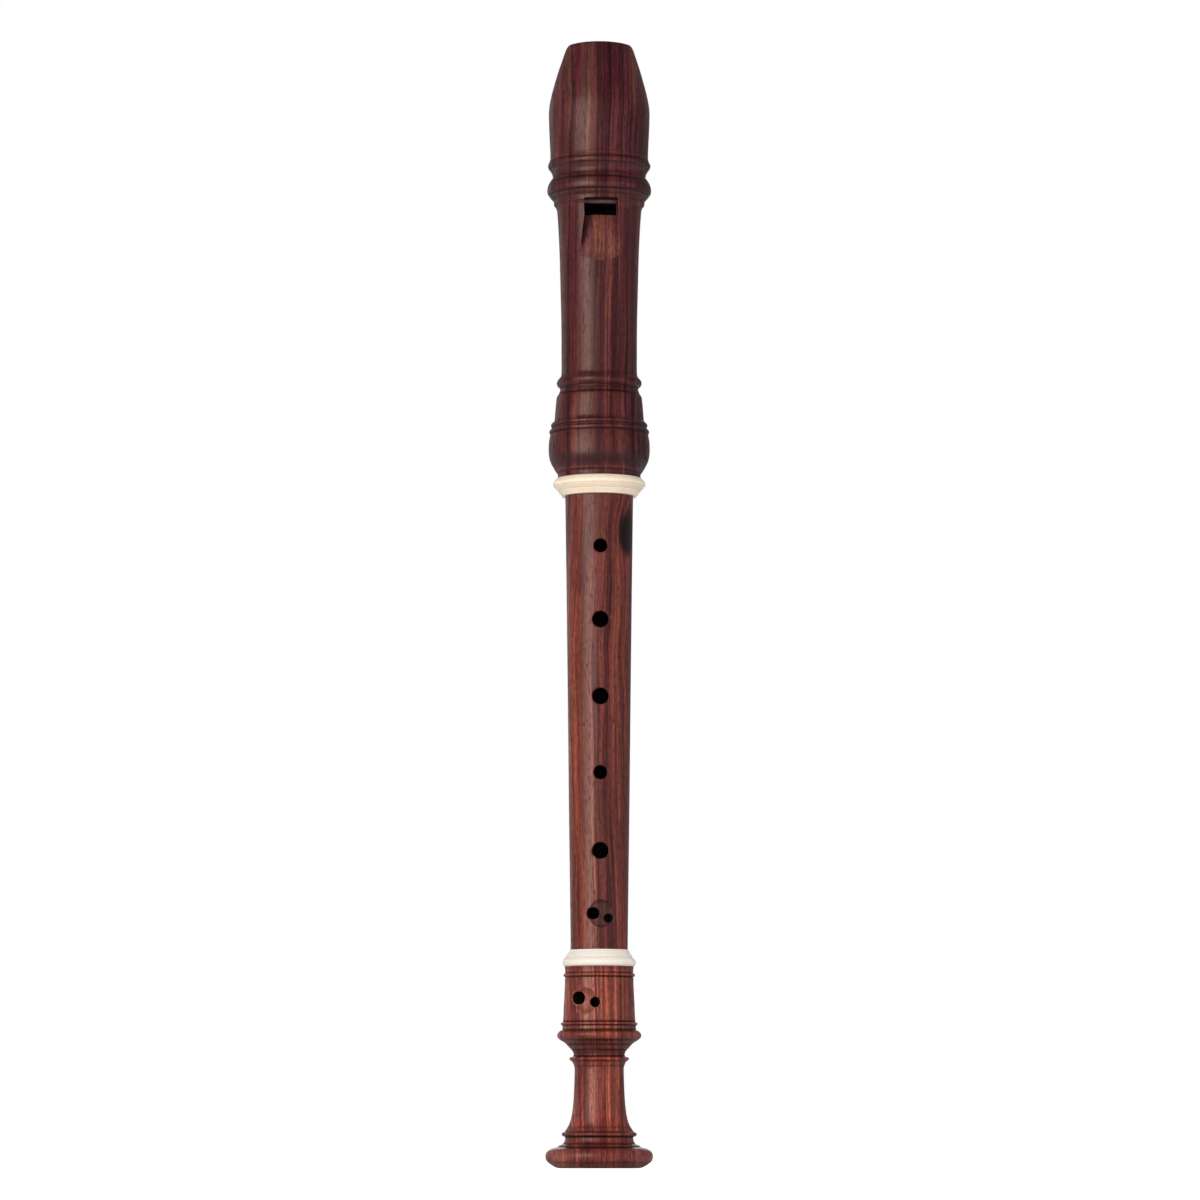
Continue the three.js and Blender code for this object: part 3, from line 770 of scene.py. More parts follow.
# ------------------------------------------------------------------ materials
class Graph:
    """Short names for building a node tree."""

    def __init__(self, name):
        self.mat = bpy.data.materials.new(name)
        self.mat.use_nodes = True
        self.nt = self.mat.node_tree
        self.nt.nodes.clear()
        self.out = self.nt.nodes.new("ShaderNodeOutputMaterial")
        self.bsdf = self.nt.nodes.new("ShaderNodeBsdfPrincipled")
        self.link(self.bsdf.outputs[0], self.out.inputs["Surface"])

    def node(self, kind, **props):
        n = self.nt.nodes.new(kind)
        for k, v in props.items():
            setattr(n, k, v)
        return n

    def link(self, a, b):
        self.nt.links.new(a, b)

    def put(self, socket, value):
        if hasattr(value, "is_output") or isinstance(value, bpy.types.NodeSocket):
            self.link(value, socket)
        else:
            socket.default_value = value

    def math(self, op, a, b=None, c=None, clamp=False):
        n = self.node("ShaderNodeMath", operation=op, use_clamp=clamp)
        self.put(n.inputs[0], a)
        if b is not None:
            self.put(n.inputs[1], b)
        if c is not None:
            self.put(n.inputs[2], c)
        return n.outputs[0]

    def vmath(self, op, a, b=None):
        n = self.node("ShaderNodeVectorMath", operation=op)
        self.put(n.inputs[0], a)
        if b is not None:
            self.put(n.inputs[1], b)
        return n.outputs[0]

    def combine(self, x, y, z):
        n = self.node("ShaderNodeCombineXYZ")
        for s, v in zip(n.inputs, (x, y, z)):
            self.put(s, v)
        return n.outputs[0]

    def noise(self, vector, scale=1.0, detail=3.0, rough=0.55, distortion=0.0, dims="3D"):
        n = self.node("ShaderNodeTexNoise", noise_dimensions=dims)
        self.put(n.inputs["Vector"], vector)
        n.inputs["Scale"].default_value = scale
        n.inputs["Detail"].default_value = detail
        n.inputs["Roughness"].default_value = rough
        n.inputs["Distortion"].default_value = distortion
        return n.outputs["Fac"]

    def ramp(self, fac, stops, interp="LINEAR"):
        n = self.node("ShaderNodeValToRGB")
        n.color_ramp.interpolation = interp
        el = n.color_ramp.elements
        el[0].position, el[0].color = stops[0][0], (*stops[0][1], 1.0)
        el[1].position, el[1].color = stops[-1][0], (*stops[-1][1], 1.0)
        for pos, col in stops[1:-1]:
            e = el.new(pos)
            e.color = (*col, 1.0)
        self.put(n.inputs[0], fac)
        return n.outputs[0]

    def remap(self, v, a, b, c=0.0, d=1.0, smooth=False):
        n = self.node("ShaderNodeMapRange", interpolation_type="SMOOTHSTEP" if smooth else "LINEAR")
        self.put(n.inputs["Value"], v)
        for key, val in (("From Min", a), ("From Max", b), ("To Min", c), ("To Max", d)):
            n.inputs[key].default_value = val
        return n.outputs[0]

    def mix(self, fac, a, b, blend="MIX"):
        n = self.node("ShaderNodeMix", data_type="RGBA", blend_type=blend)
        self.put(n.inputs[0], fac)
        self.put(n.inputs[6], a if isinstance(a, bpy.types.NodeSocket) else (*a, 1.0))
        self.put(n.inputs[7], b if isinstance(b, bpy.types.NodeSocket) else (*b, 1.0))
        return n.outputs[2]

    def bump(self, height, strength=0.3, distance=0.00005, normal=None):
        n = self.node("ShaderNodeBump")
        n.inputs["Strength"].default_value = strength
        n.inputs["Distance"].default_value = distance
        self.put(n.inputs["Height"], height)
        if normal is not None:
            self.put(n.inputs["Normal"], normal)
        return n.outputs[0]


def gauss(g, v, centre, width):
    """exp(-((v-centre)/width)^2)"""
    d = g.math("DIVIDE", g.math("SUBTRACT", v, centre), width)
    return g.math("POWER", 2.718282, g.math("MULTIPLY", g.math("MULTIPLY", d, d), -1.0))


def line_mask(g, z, lines):
    """Fine dark lines at given heights: [(height, half width, strength)]."""
    lines = sorted(lines)
    groups = [[lines[0]]]
    for item in lines[1:]:
        if item[0] - groups[-1][-1][0] > 6.0 or len(groups[-1]) >= 9:
            groups.append([])
        groups[-1].append(item)
    total = None
    for group in groups:
        lo, hi = group[0][0] - group[0][1] - 0.1, group[-1][0] + group[-1][1] + 0.1
        stops = [(0.0, (0, 0, 0))]
        last = lo
        for i, (zc, hw, strength) in enumerate(group):
            a = max(zc - hw, last + 0.01)
            b = zc + hw
            if i + 1 < len(group):
                b = min(b, zc + 0.5 * (group[i + 1][0] - zc))
            stops += [((a - lo) / (hi - lo), (0, 0, 0)), ((zc - lo) / (hi - lo), (strength,) * 3), ((b - lo) / (hi - lo), (0, 0, 0))]
            last = b
        stops.append((1.0, (0, 0, 0)))
        m = g.ramp(g.remap(z, lo, hi), stops)
        total = m if total is None else g.math("ADD", total, m)
    return total


def rosewood(name, seed, ramp, streaks, drift=None, roughness=0.31, knot=None, fine=1.0, value=1.0, specular=0.46,
             shade_and_grime_lines=None, highlight_lines=None, wander=1.0, sheen=(1.0, 0.86, 0.76)):
    """Oiled rosewood as a solid: growth layers stand across X, fibres run along Z.
    streaks: (x in mm, half width, colour, strength, z from, z to)
    drift: how far the layers wander along X, as (z, mm)"""
    g = Graph(name)
    tc = g.node("ShaderNodeTexCoord")
    pos = g.vmath("MULTIPLY", tc.outputs["Object"], (1000.0, 1000.0, 1000.0))
    sep = g.node("ShaderNodeSeparateXYZ")
    g.link(pos, sep.inputs[0])
    x, y, z = sep.outputs
    # slow drift of the fibres
    off = g.vmath("ADD", pos, (seed * 37.1, seed * 11.7, seed * 53.9))
    slow = g.noise(g.vmath("MULTIPLY", off, (0.055, 0.03, 0.010)), detail=2.0)
    wob = g.noise(g.vmath("MULTIPLY", off, (0.25, 0.10, 0.045)), detail=2.0)
    xk = g.math("ADD", x, g.math("MULTIPLY", g.math("SUBTRACT", wob, 0.5), 1.1 * wander))
    if drift:
        z0, z1 = drift[0][0], drift[-1][0]
        table = g.ramp(g.remap(z, z0, z1), [((h - z0) / (z1 - z0), ((d + 2.0) / 4.0,) * 3) for h, d in drift], "EASE")
        xk = g.math("SUBTRACT", xk, g.math("SUBTRACT", g.math("MULTIPLY", table, 4.0), 2.0))
    if knot is not None:
        kx, ky, kz, kr, ky2, kl = knot
        kd = gauss(g, z, kz, kl * 1.35)
        side = gauss(g, x, kx - 2.4, 3.4)
        xk = g.math("ADD", xk, g.math("MULTIPLY", g.math("MULTIPLY", kd, side), 2.2))
    xs = g.math("ADD", xk, g.math("MULTIPLY", g.math("SUBTRACT", slow, 0.5), 3.0))
    p = g.combine(xs, y, z)
    poff = g.vmath("ADD", p, (seed * 17.3, seed * 5.1, seed * 29.7))
    broad = g.noise(g.vmath("MULTIPLY", poff, (0.42, 0.05, 0.006)), detail=2.0, rough=0.5)
    band = g.noise(g.vmath("MULTIPLY", poff, (1.15, 0.09, 0.014)), detail=3.0, rough=0.55)
    lines = g.noise(g.vmath("MULTIPLY", poff, (2.2, 0.10, 0.016)), detail=2.0, rough=0.5)
    streak = g.noise(g.vmath("MULTIPLY", poff, (4.2, 0.30, 0.040)), detail=3.0, rough=0.6)
    fibre = g.noise(g.vmath("MULTIPLY", poff, (8.5, 1.4, 0.17)), detail=2.0, rough=0.6)
    fleck = g.noise(g.vmath("MULTIPLY", off, (2.3, 0.8, 0.62)), detail=3.0, rough=0.68)
    hue = g.noise(g.vmath("ADD", g.vmath("MULTIPLY", poff, (0.75, 0.06, 0.008)), (41.0, 7.0, 3.0)), detail=2.0, rough=0.5)
    v = g.math("ADD", g.math("MULTIPLY", g.math("SUBTRACT", broad, 0.5), 0.9),
               g.math("MULTIPLY", g.math("SUBTRACT", band, 0.5), 1.15))
    v = g.math("ADD", v, g.math("MULTIPLY", g.math("SUBTRACT", streak, 0.5), 0.45 * fine))
    v = g.math("ADD", v, g.math("MULTIPLY", g.math("SUBTRACT", lines, 0.5), 0.7 * fine))
    v = g.math("ADD", v, 0.5, clamp=True)
    col = g.ramp(v, ramp)
    tint = g.ramp(hue, [(0.36, (0.93, 0.88, 1.20)), (0.50, (1.0, 1.0, 1.0)), (0.64, (1.06, 1.10, 0.92))])
    col = g.mix(1.0, col, tint, "MULTIPLY")
    xe = g.math("ADD", xk, g.math("MULTIPLY", g.math("SUBTRACT", lines, 0.5), 1.3 * wander))
    for sx, sw, sc, ss, z0, z1 in streaks:
        m = gauss(g, xe, sx, sw)
        soft = 1.3 if sw > 20 else 4.0
        if z0 is not None:
            m = g.math("MULTIPLY", m, g.remap(z, z0 - soft, z0 + soft, smooth=True))
        if z1 is not None:
            m = g.math("MULTIPLY", m, g.remap(z, z1 - soft, z1 + soft, 1.0, 0.0, smooth=True))
        m = g.math("MULTIPLY", m, g.remap(streak, 0.3, 0.6, 0.7 * ss, ss))
        col = g.mix(g.math("MINIMUM", m, 1.0), col, sc)
    # fibre lines, lighter and darker
    shade = g.remap(streak, 0.24, 0.76, 1.0 - 0.40 * fine, 1.0 + 0.46 * fine)
    shade2 = g.remap(fibre, 0.24, 0.76, 1.0 - 0.30 * fine, 1.0 + 0.34 * fine)
    shade3 = g.remap(lines, 0.24, 0.76, 1.0 - 0.50 * fine, 1.0 + 0.58 * fine)
    shade4 = g.remap(fleck, 0.24, 0.76, 0.55, 1.48)
    shade = g.math("MULTIPLY", g.math("MULTIPLY", shade, shade2), g.math("MULTIPLY", shade3, value))
    shade = g.math("MULTIPLY", shade, shade4)
    # painted shade and grime in the hollows of the turning, painted highlight and wear on its crests
    cav = g.node("ShaderNodeAttribute", attribute_type="GEOMETRY", attribute_name="cavity").outputs["Fac"]
    groove = g.remap(cav, 0.12, 0.95, 1.0, 0.15, smooth=True)
    ridge = g.remap(cav, -1.0, -0.2, 1.22, 1.0, smooth=True)
    shade = g.math("MULTIPLY", g.math("MULTIPLY", shade, groove), ridge)
    # painted shade and grime: fine dark lines at the listed heights
    if shade_and_grime_lines:
        shade = g.math("MULTIPLY", shade, g.math("SUBTRACT", 1.0, line_mask(g, z, shade_and_grime_lines)))
    # painted highlight: thin lighter lines at the listed heights
    if highlight_lines:
        shade = g.math("MULTIPLY", shade, g.math("ADD", 1.0, line_mask(g, z, highlight_lines)))
    grey = g.node("ShaderNodeCombineColor")
    for sock in grey.inputs:
        g.put(sock, shade)
    col = g.mix(1.0, col, grey.outputs[0], "MULTIPLY")
    if knot is not None:
        dx = g.math("DIVIDE", g.math("SUBTRACT", x, kx), kr)
        dy = g.math("DIVIDE", g.math("SUBTRACT", y, ky), ky2)
        dz = g.math("DIVIDE", g.math("SUBTRACT", z, kz), kl)
        d2 = g.math("ADD", g.math("ADD", g.math("MULTIPLY", dx, dx), g.math("MULTIPLY", dy, dy)), g.math("MULTIPLY", dz, dz))
        d = g.math("ADD", g.math("SQRT", d2), g.math("MULTIPLY", g.math("SUBTRACT", wob, 0.5), 0.9))
        km = g.remap(d, 0.62, 1.12, 0.97, 0.0, smooth=True)
        col = g.mix(km, col, (0.0055, 0.0042, 0.0050))
    # open pores: short dark dashes along the fibres
    pore = g.noise(g.vmath("MULTIPLY", off, (2.9, 0.9, 0.40)), detail=1.0, rough=0.4)
    pore = g.remap(pore, 0.61, 0.71, 0.0, 1.0, smooth=True)
    pore2 = g.noise(g.vmath("MULTIPLY", off, (8.5, 2.2, 0.55)), detail=0.0)
    pore2 = g.remap(pore2, 0.68, 0.80, 0.0, 0.6, smooth=True)
    pores = g.math("MAXIMUM", pore, pore2)
    col = g.mix(g.math("MULTIPLY", pores, 0.68 * fine), col, (0.016, 0.0055, 0.0060))
    g.link(col, g.bsdf.inputs["Base Color"])
    rough = g.math("ADD", g.remap(fibre, 0.2, 0.8, roughness - 0.04, roughness + 0.07), g.math("MULTIPLY", pores, 0.2))
    rough = g.math("ADD", rough, g.remap(cav, 0.15, 0.8, 0.0, 0.22))
    g.link(rough, g.bsdf.inputs["Roughness"])
    g.bsdf.inputs["IOR"].default_value = 1.5
    g.bsdf.inputs["Specular IOR Level"].default_value = specular
    g.bsdf.inputs["Specular Tint"].default_value = (*sheen, 1.0)
    height = g.math("SUBTRACT", g.math("MULTIPLY", fibre, 0.5), pores)
    g.link(g.bump(height, strength=0.35, distance=0.00006), g.bsdf.inputs["Normal"])
    return g.mat


# Near-black wood, partly dark oiled wood and partly painted shade for insides the light hardly reaches.
def bore_wood(name, seed):
    g = Graph(name)
    tc = g.node("ShaderNodeTexCoord")
    v = g.vmath("MULTIPLY", tc.outputs["Object"], (1400.0, 1400.0, 60.0))
    n = g.noise(g.vmath("ADD", v, (seed * 3.0, 1.0, 2.0)), detail=4.0)
    rings = g.noise(g.vmath("MULTIPLY", tc.outputs["Object"], (120.0, 120.0, 2600.0)), detail=2.0)
    col = g.ramp(g.math("ADD", g.math("MULTIPLY", n, 0.75), g.math("MULTIPLY", rings, 0.25)), [
        (0.28, (0.0030, 0.0015, 0.0012)), (0.55, (0.0085, 0.0036, 0.0028)), (0.78, (0.018, 0.0075, 0.0050))])
    g.link(col, g.bsdf.inputs["Base Color"])
    g.link(g.remap(n, 0.2, 0.8, 0.45, 0.62), g.bsdf.inputs["Roughness"])
    g.link(g.bump(rings, strength=0.25, distance=0.00003), g.bsdf.inputs["Normal"])
    return g.mat


def ivory(name, seed, tone, grime_and_shade_tint=(0.50, 0.33, 0.19), grime_and_shade=0.72):
    """Cast cream resin with faint streaks, like imitation ivory, turned and polished."""
    g = Graph(name)
    tc = g.node("ShaderNodeTexCoord")
    pos = g.vmath("ADD", g.vmath("MULTIPLY", tc.outputs["Object"], (1000.0, 1000.0, 1000.0)), (seed * 9.0, 3.0, 1.0))
    veins = g.noise(g.vmath("MULTIPLY", pos, (0.55, 0.16, 0.22)), detail=3.0, rough=0.5, distortion=0.6)
    fine = g.noise(g.vmath("MULTIPLY", pos, (2.6, 1.1, 1.6)), detail=3.0)
    turn = g.noise(g.vmath("MULTIPLY", pos, (0.08, 0.08, 14.0)), detail=2.0)
    v = g.math("ADD", g.math("MULTIPLY", veins, 0.8), g.math("MULTIPLY", fine, 0.2))
    r, gr, b = tone
    col = g.ramp(v, [
        (0.25, (0.965 * r, 0.94 * gr, 0.90 * b)), (0.45, (r, gr, b)),
        (0.62, (min(0.99, 1.01 * r), 1.025 * gr, 1.05 * b)), (0.85, (min(0.99, 1.02 * r), 1.05 * gr, 1.12 * b))])
    # painted shade and grime: a darker, browner cream in the hollows of the turning
    cav = g.node("ShaderNodeAttribute", attribute_type="GEOMETRY", attribute_name="cavity").outputs["Fac"]
    col = g.mix(g.remap(cav, 0.12, 0.9, 0.0, grime_and_shade, smooth=True), col, grime_and_shade_tint)
    g.link(col, g.bsdf.inputs["Base Color"])
    g.link(g.remap(turn, 0.2, 0.8, 0.27, 0.40), g.bsdf.inputs["Roughness"])
    g.bsdf.inputs["IOR"].default_value = 1.52
    g.bsdf.inputs["Subsurface Weight"].default_value = 0.22
    g.bsdf.inputs["Subsurface Radius"].default_value = (0.0014, 0.0008, 0.0004)
    g.bsdf.inputs["Subsurface Scale"].default_value = 1.0
    g.link(g.bump(turn, strength=0.12, distance=0.00003), g.bsdf.inputs["Normal"])
    return g.mat


def cedar(name):
    g = Graph(name)
    tc = g.node("ShaderNodeTexCoord")
    pos = g.vmath("MULTIPLY", tc.outputs["Object"], (1000.0, 1000.0, 1000.0))
    warp = g.noise(g.vmath("MULTIPLY", pos, (0.10, 0.05, 0.012)), detail=1.0)
    sep = g.node("ShaderNodeSeparateXYZ")
    g.link(pos, sep.inputs[0])
    u = g.math("ADD", sep.outputs[0], g.math("MULTIPLY", warp, 2.2))
    u = g.math("ADD", u, g.math("MULTIPLY", sep.outputs[1], 0.12))
    saw = g.math("FRACT", g.math("MULTIPLY", u, 1.05))
    late = g.math("POWER", saw, 3.0)
    fibre = g.noise(g.vmath("MULTIPLY", pos, (8.0, 8.0, 0.3)), detail=3.0)
    col = g.ramp(g.math("ADD", g.math("MULTIPLY", late, 0.65), g.math("MULTIPLY", fibre, 0.35)), [
        (0.08, (0.460, 0.215, 0.120)), (0.4, (0.380, 0.160, 0.085)), (0.9, (0.235, 0.080, 0.042))])
    g.link(col, g.bsdf.inputs["Base Color"])
    g.link(g.remap(fibre, 0.2, 0.8, 0.55, 0.72), g.bsdf.inputs["Roughness"])
    g.link(g.bump(g.math("ADD", fibre, g.math("MULTIPLY", late, 0.5)), strength=0.3, distance=0.00005), g.bsdf.inputs["Normal"])
    return g.mat


def cork_material(name):
    g = Graph(name)
    tc = g.node("ShaderNodeTexCoord")
    pos = g.vmath("MULTIPLY", tc.outputs["Object"], (1000.0, 1000.0, 1000.0))
    cells = g.node("ShaderNodeTexVoronoi", feature="F1")
    g.link(g.vmath("MULTIPLY", pos, (1.5, 1.5, 1.1)), cells.inputs["Vector"])
    cells.inputs["Scale"].default_value = 1.0
    grain = g.noise(g.vmath("MULTIPLY", pos, (1.6, 1.6, 1.6)), detail=6.0, rough=0.7)
    pits = g.noise(g.vmath("MULTIPLY", pos, (0.9, 0.9, 0.5)), detail=3.0, rough=0.6)
    v = g.math("ADD", g.math("MULTIPLY", grain, 0.65), g.math("MULTIPLY", cells.outputs["Distance"], 0.35))
    col = g.ramp(v, [(0.22, (0.17, 0.085, 0.035)), (0.45, (0.40, 0.235, 0.11)), (0.62, (0.56, 0.355, 0.18)), (0.9, (0.66, 0.45, 0.25))])
    pit = g.remap(pits, 0.62, 0.70, 0.0, 0.85, smooth=True)
    col = g.mix(pit, col, (0.085, 0.038, 0.018))
    g.link(col, g.bsdf.inputs["Base Color"])
    g.link(g.remap(grain, 0.2, 0.8, 0.62, 0.85), g.bsdf.inputs["Roughness"])
    h = g.math("SUBTRACT", grain, pit)
    g.link(g.bump(h, strength=0.5, distance=0.00012), g.bsdf.inputs["Normal"])
    return g.mat


def scaled(ramp, r, g, b):
    return [(t, (c[0] * r, c[1] * g, c[2] * b)) for t, c in ramp]


HEAD_RAMP = scaled([
    (0.12, (0.0180, 0.0048, 0.0068)), (0.32, (0.0450, 0.0102, 0.0120)), (0.48, (0.0780, 0.0180, 0.0190)),
    (0.62, (0.1050, 0.0250, 0.0245)), (0.78, (0.1350, 0.0370, 0.0320)), (0.92, (0.1700, 0.0580, 0.0430))],
    1.01, 0.82, 0.95)
MIDDLE_RAMP = scaled([
    (0.12, (0.0300, 0.0090, 0.0095)), (0.32, (0.0700, 0.0180, 0.0165)), (0.48, (0.1180, 0.0280, 0.0225)),
    (0.62, (0.1600, 0.0380, 0.0265)), (0.78, (0.2050, 0.0530, 0.0330)), (0.92, (0.2500, 0.0780, 0.0480))],
    1.16, 0.93, 1.02)
FOOT_RAMP = scaled([
    (0.12, (0.0750, 0.0130, 0.0115)), (0.32, (0.1400, 0.0265, 0.0200)), (0.48, (0.1950, 0.0400, 0.0285)),
    (0.62, (0.2400, 0.0530, 0.0350)), (0.78, (0.3000, 0.0760, 0.0460)), (0.92, (0.3550, 0.1100, 0.0650))],
    1.08, 0.97, 1.10)

PURPLE = (0.026, 0.0068, 0.0108)
BLACKISH = (0.012, 0.0036, 0.0050)
ORANGE = (0.225, 0.0530, 0.0260)

# (z mm, half width mm, depth of tone) of fine dark lines where parts of the turning meet: painted shade and grime
# where the beads shade their neighbours
HEAD_SHADE_AND_GRIME_LINES = [
    (295.05, 0.32, 0.67), (293.3, 0.38, 0.61), (288.9, 0.55, 0.92), (285.5, 0.38, 0.92), (284.15, 0.30, 0.61),
    (227.2, 0.40, 0.55), (225.8, 0.45, 0.92), (217.5, 0.32, 0.61), (216.6, 0.26, 0.55), (215.65, 0.24, 0.55),
    (214.6, 0.40, 0.92), (202.8, 0.35, 0.61)]
FOOT_SHADE_AND_GRIME_LINES = [
    (57.6, 0.32, 0.49), (56.35, 0.30, 0.67), (55.35, 0.32, 0.67), (42.1, 0.30, 0.55), (41.2, 0.32, 0.92),
    (39.5, 0.42, 0.92), (36.9, 0.40, 0.92), (35.5, 0.34, 0.92), (34.04, 0.34, 0.92), (33.18, 0.22, 0.55),
    (32.2, 0.34, 0.92), (30.93, 0.26, 0.55), (29.49, 0.34, 0.55), (11.8, 0.40, 0.43), (10.23, 0.32, 0.67),
    (9.09, 0.38, 0.92), (7.09, 0.45, 0.67), (5.95, 0.45, 0.92), (1.66, 0.60, 0.43)]

# (z mm, half width mm, strength) of thin painted highlight lines on the crests of the turning
HEAD_HIGHLIGHT_LINES = [(296.0, 0.24, 1.0), (289.6, 0.9, 0.35), (286.7, 0.26, 0.8), (216.35, 0.2, 0.7), (215.3, 0.2, 0.6), (203.45, 0.24, 1.0)]

HEAD_STREAKS = [
    (-10.6, 1.4, (0.120, 0.0300, 0.0230), 0.5, None, None),
    (-10.3, 0.9, (0.170, 0.0620, 0.0460), 0.6, 304.0, None),
    (-8.1, 1.2, (0.125, 0.0170, 0.0200), 0.6, None, None),
    (-7.7, 0.8, (0.200, 0.0500, 0.0360), 0.7, 205.0, 222.0),
    (-4.3, 1.7, (0.150, 0.0420, 0.0300), 0.6, None, None),
    (-4.4, 1.2, (0.190, 0.0540, 0.0330), 0.5, 297.0, 312.0),
    (-1.4, 0.5, (0.034, 0.0080, 0.0110), 0.6, 284.0, 318.0),
    (0.2, 0.7, (0.044, 0.0085, 0.0120), 0.5, None, 290.0),
    (0.3, 2.0, (0.046, 0.0075, 0.0130), 0.65, 303.0, None),
    (2.1, 0.5, (0.170, 0.0480, 0.0350), 0.6, 255.0, 276.0),
    (4.7, 0.9, (0.042, 0.0110, 0.0140), 0.55, 226.0, 279.0),
    (6.0, 1.6, (0.048, 0.0145, 0.0170), 0.45, 303.0, None),
    (6.6, 1.6, (0.130, 0.0300, 0.0270), 0.45, 203.0, 221.0),
    (9.7, 0.7, (0.036, 0.0100, 0.0120), 0.6, 224.0, 283.0),
    (11.8, 0.9, (0.020, 0.0060, 0.0080), 0.75, None, 222.0),
    (11.5, 0.7, (0.020, 0.0060, 0.0080), 0.75, 284.0, 312.0),
    (8.6, 1.2, (0.165, 0.0540, 0.0420), 0.7, 310.0, None),
    (13.1, 0.8, PURPLE, 0.7, None, 306.0),
    (-9.35, 0.38, BLACKISH, 0.85, None, None),
    (0.0, 40.0, (0.052, 0.0105, 0.0150), 0.20, 228.0, 280.0),
    # painted shade: the head's bell darkened all round on its downward-facing lower part
    (0.0, 41.0, (0.024, 0.0068, 0.0110), 0.78, 204.0, 207.6),
    (-13.6, 1.5, BLACKISH, 0.55, 286.0, 294.0),
    (13.6, 1.6, BLACKISH, 0.65, 286.0, 294.0)]
HEAD_DRIFT = [(196.0, -0.2), (215.0, -0.2), (250.0, 0.0), (283.0, 0.2), (298.0, 0.45), (312.0, 1.0), (331.0, 1.2)]
head_wood = rosewood("head_wood", 1.0, HEAD_RAMP, HEAD_STREAKS, drift=HEAD_DRIFT, fine=0.84, value=0.76, shade_and_grime_lines=HEAD_SHADE_AND_GRIME_LINES,
                     highlight_lines=HEAD_HIGHLIGHT_LINES)
head_cut = rosewood("head_cut_wood", 1.0, [
    (0.10, (0.065, 0.0190, 0.0165)), (0.30, (0.115, 0.0330, 0.0260)), (0.50, (0.160, 0.0460, 0.0345)),
    (0.70, (0.200, 0.0600, 0.0420)), (0.95, (0.250, 0.0820, 0.0560))], [
    (-1.3, 1.1, (0.255, 0.0800, 0.0450), 0.6, None, None), (3.4, 0.9, (0.125, 0.0450, 0.0380), 0.5, None, None),
    # painted shadow: the dark band at x -4.5 mm from 269 mm up is the left ramp wall's shadow on the ramp
    (-4.5, 1.2, (0.034, 0.0100, 0.0150), 0.90, 269.0, None), (1.2, 0.35, (0.085, 0.0260, 0.0240), 0.6, None, None),
    (0.0, 40.0, (0.095, 0.0240, 0.0230), 0.60, None, 266.8)],
    drift=HEAD_DRIFT, roughness=0.46, fine=0.95, value=0.92)
# painted sheen: a lighter, greyer tone for the bevel at the windway's exit
windway_bevel_sheen = rosewood("windway_bevel_painted_sheen", 1.0, [
    (0.2, (0.100, 0.0520, 0.0540)), (0.8, (0.150, 0.0850, 0.0860))], [], roughness=0.4, fine=0.35)
MIDDLE_STREAKS = [
    (-9.6, 1.0, (0.200, 0.0620, 0.0400), 0.5, None, None),
    (-8.2, 1.6, (0.160, 0.0320, 0.0250), 0.6, 166.0, None),
    (-6.3, 1.4, (0.275, 0.0560, 0.0330), 0.78, None, 166.0),
    (-3.4, 1.5, (0.180, 0.0530, 0.0350), 0.5, None, None),
    (-0.6, 0.8, (0.085, 0.0230, 0.0200), 0.4, None, None),
    (0.5, 0.5, (0.190, 0.0480, 0.0300), 0.45, 140.0, None),
    (2.2, 0.65, (0.034, 0.0090, 0.0100), 0.72, None, None),
    (4.1, 0.8, (0.095, 0.0230, 0.0200), 0.55, 104.0, 178.0),
    (5.8, 0.9, ORANGE, 0.6, 100.0, 182.0),
    (6.9, 0.55, (0.070, 0.0180, 0.0170), 0.6, 95.0, 150.0),
    (2.6, 2.0, (0.062, 0.0200, 0.0200), 0.40, None, 104.0),
    (4.9, 0.6, (0.150, 0.0400, 0.0290), 0.5, None, 100.0),
    (7.9, 0.7, (0.160, 0.0450, 0.0320), 0.5, None, 128.0),
    (9.6, 0.9, PURPLE, 0.5, None, None),
    (0.0, 40.0, (0.070, 0.0190, 0.0190), 0.28, 178.0, None)]
MIDDLE_DRIFT = [(60.0, 1.0), (85.0, 0.55), (100.0, -0.3), (120.0, -0.5), (150.0, -0.8), (161.0, -0.2), (172.0, 0.4), (184.0, 1.5), (196.0, 1.95)]
KNOT = (7.8, -5.6, 184.9, 4.3, 6.0, 8.4)
middle_wood = rosewood("middle_wood", 2.0, MIDDLE_RAMP, MIDDLE_STREAKS, drift=MIDDLE_DRIFT, knot=KNOT, fine=0.92, value=0.88)
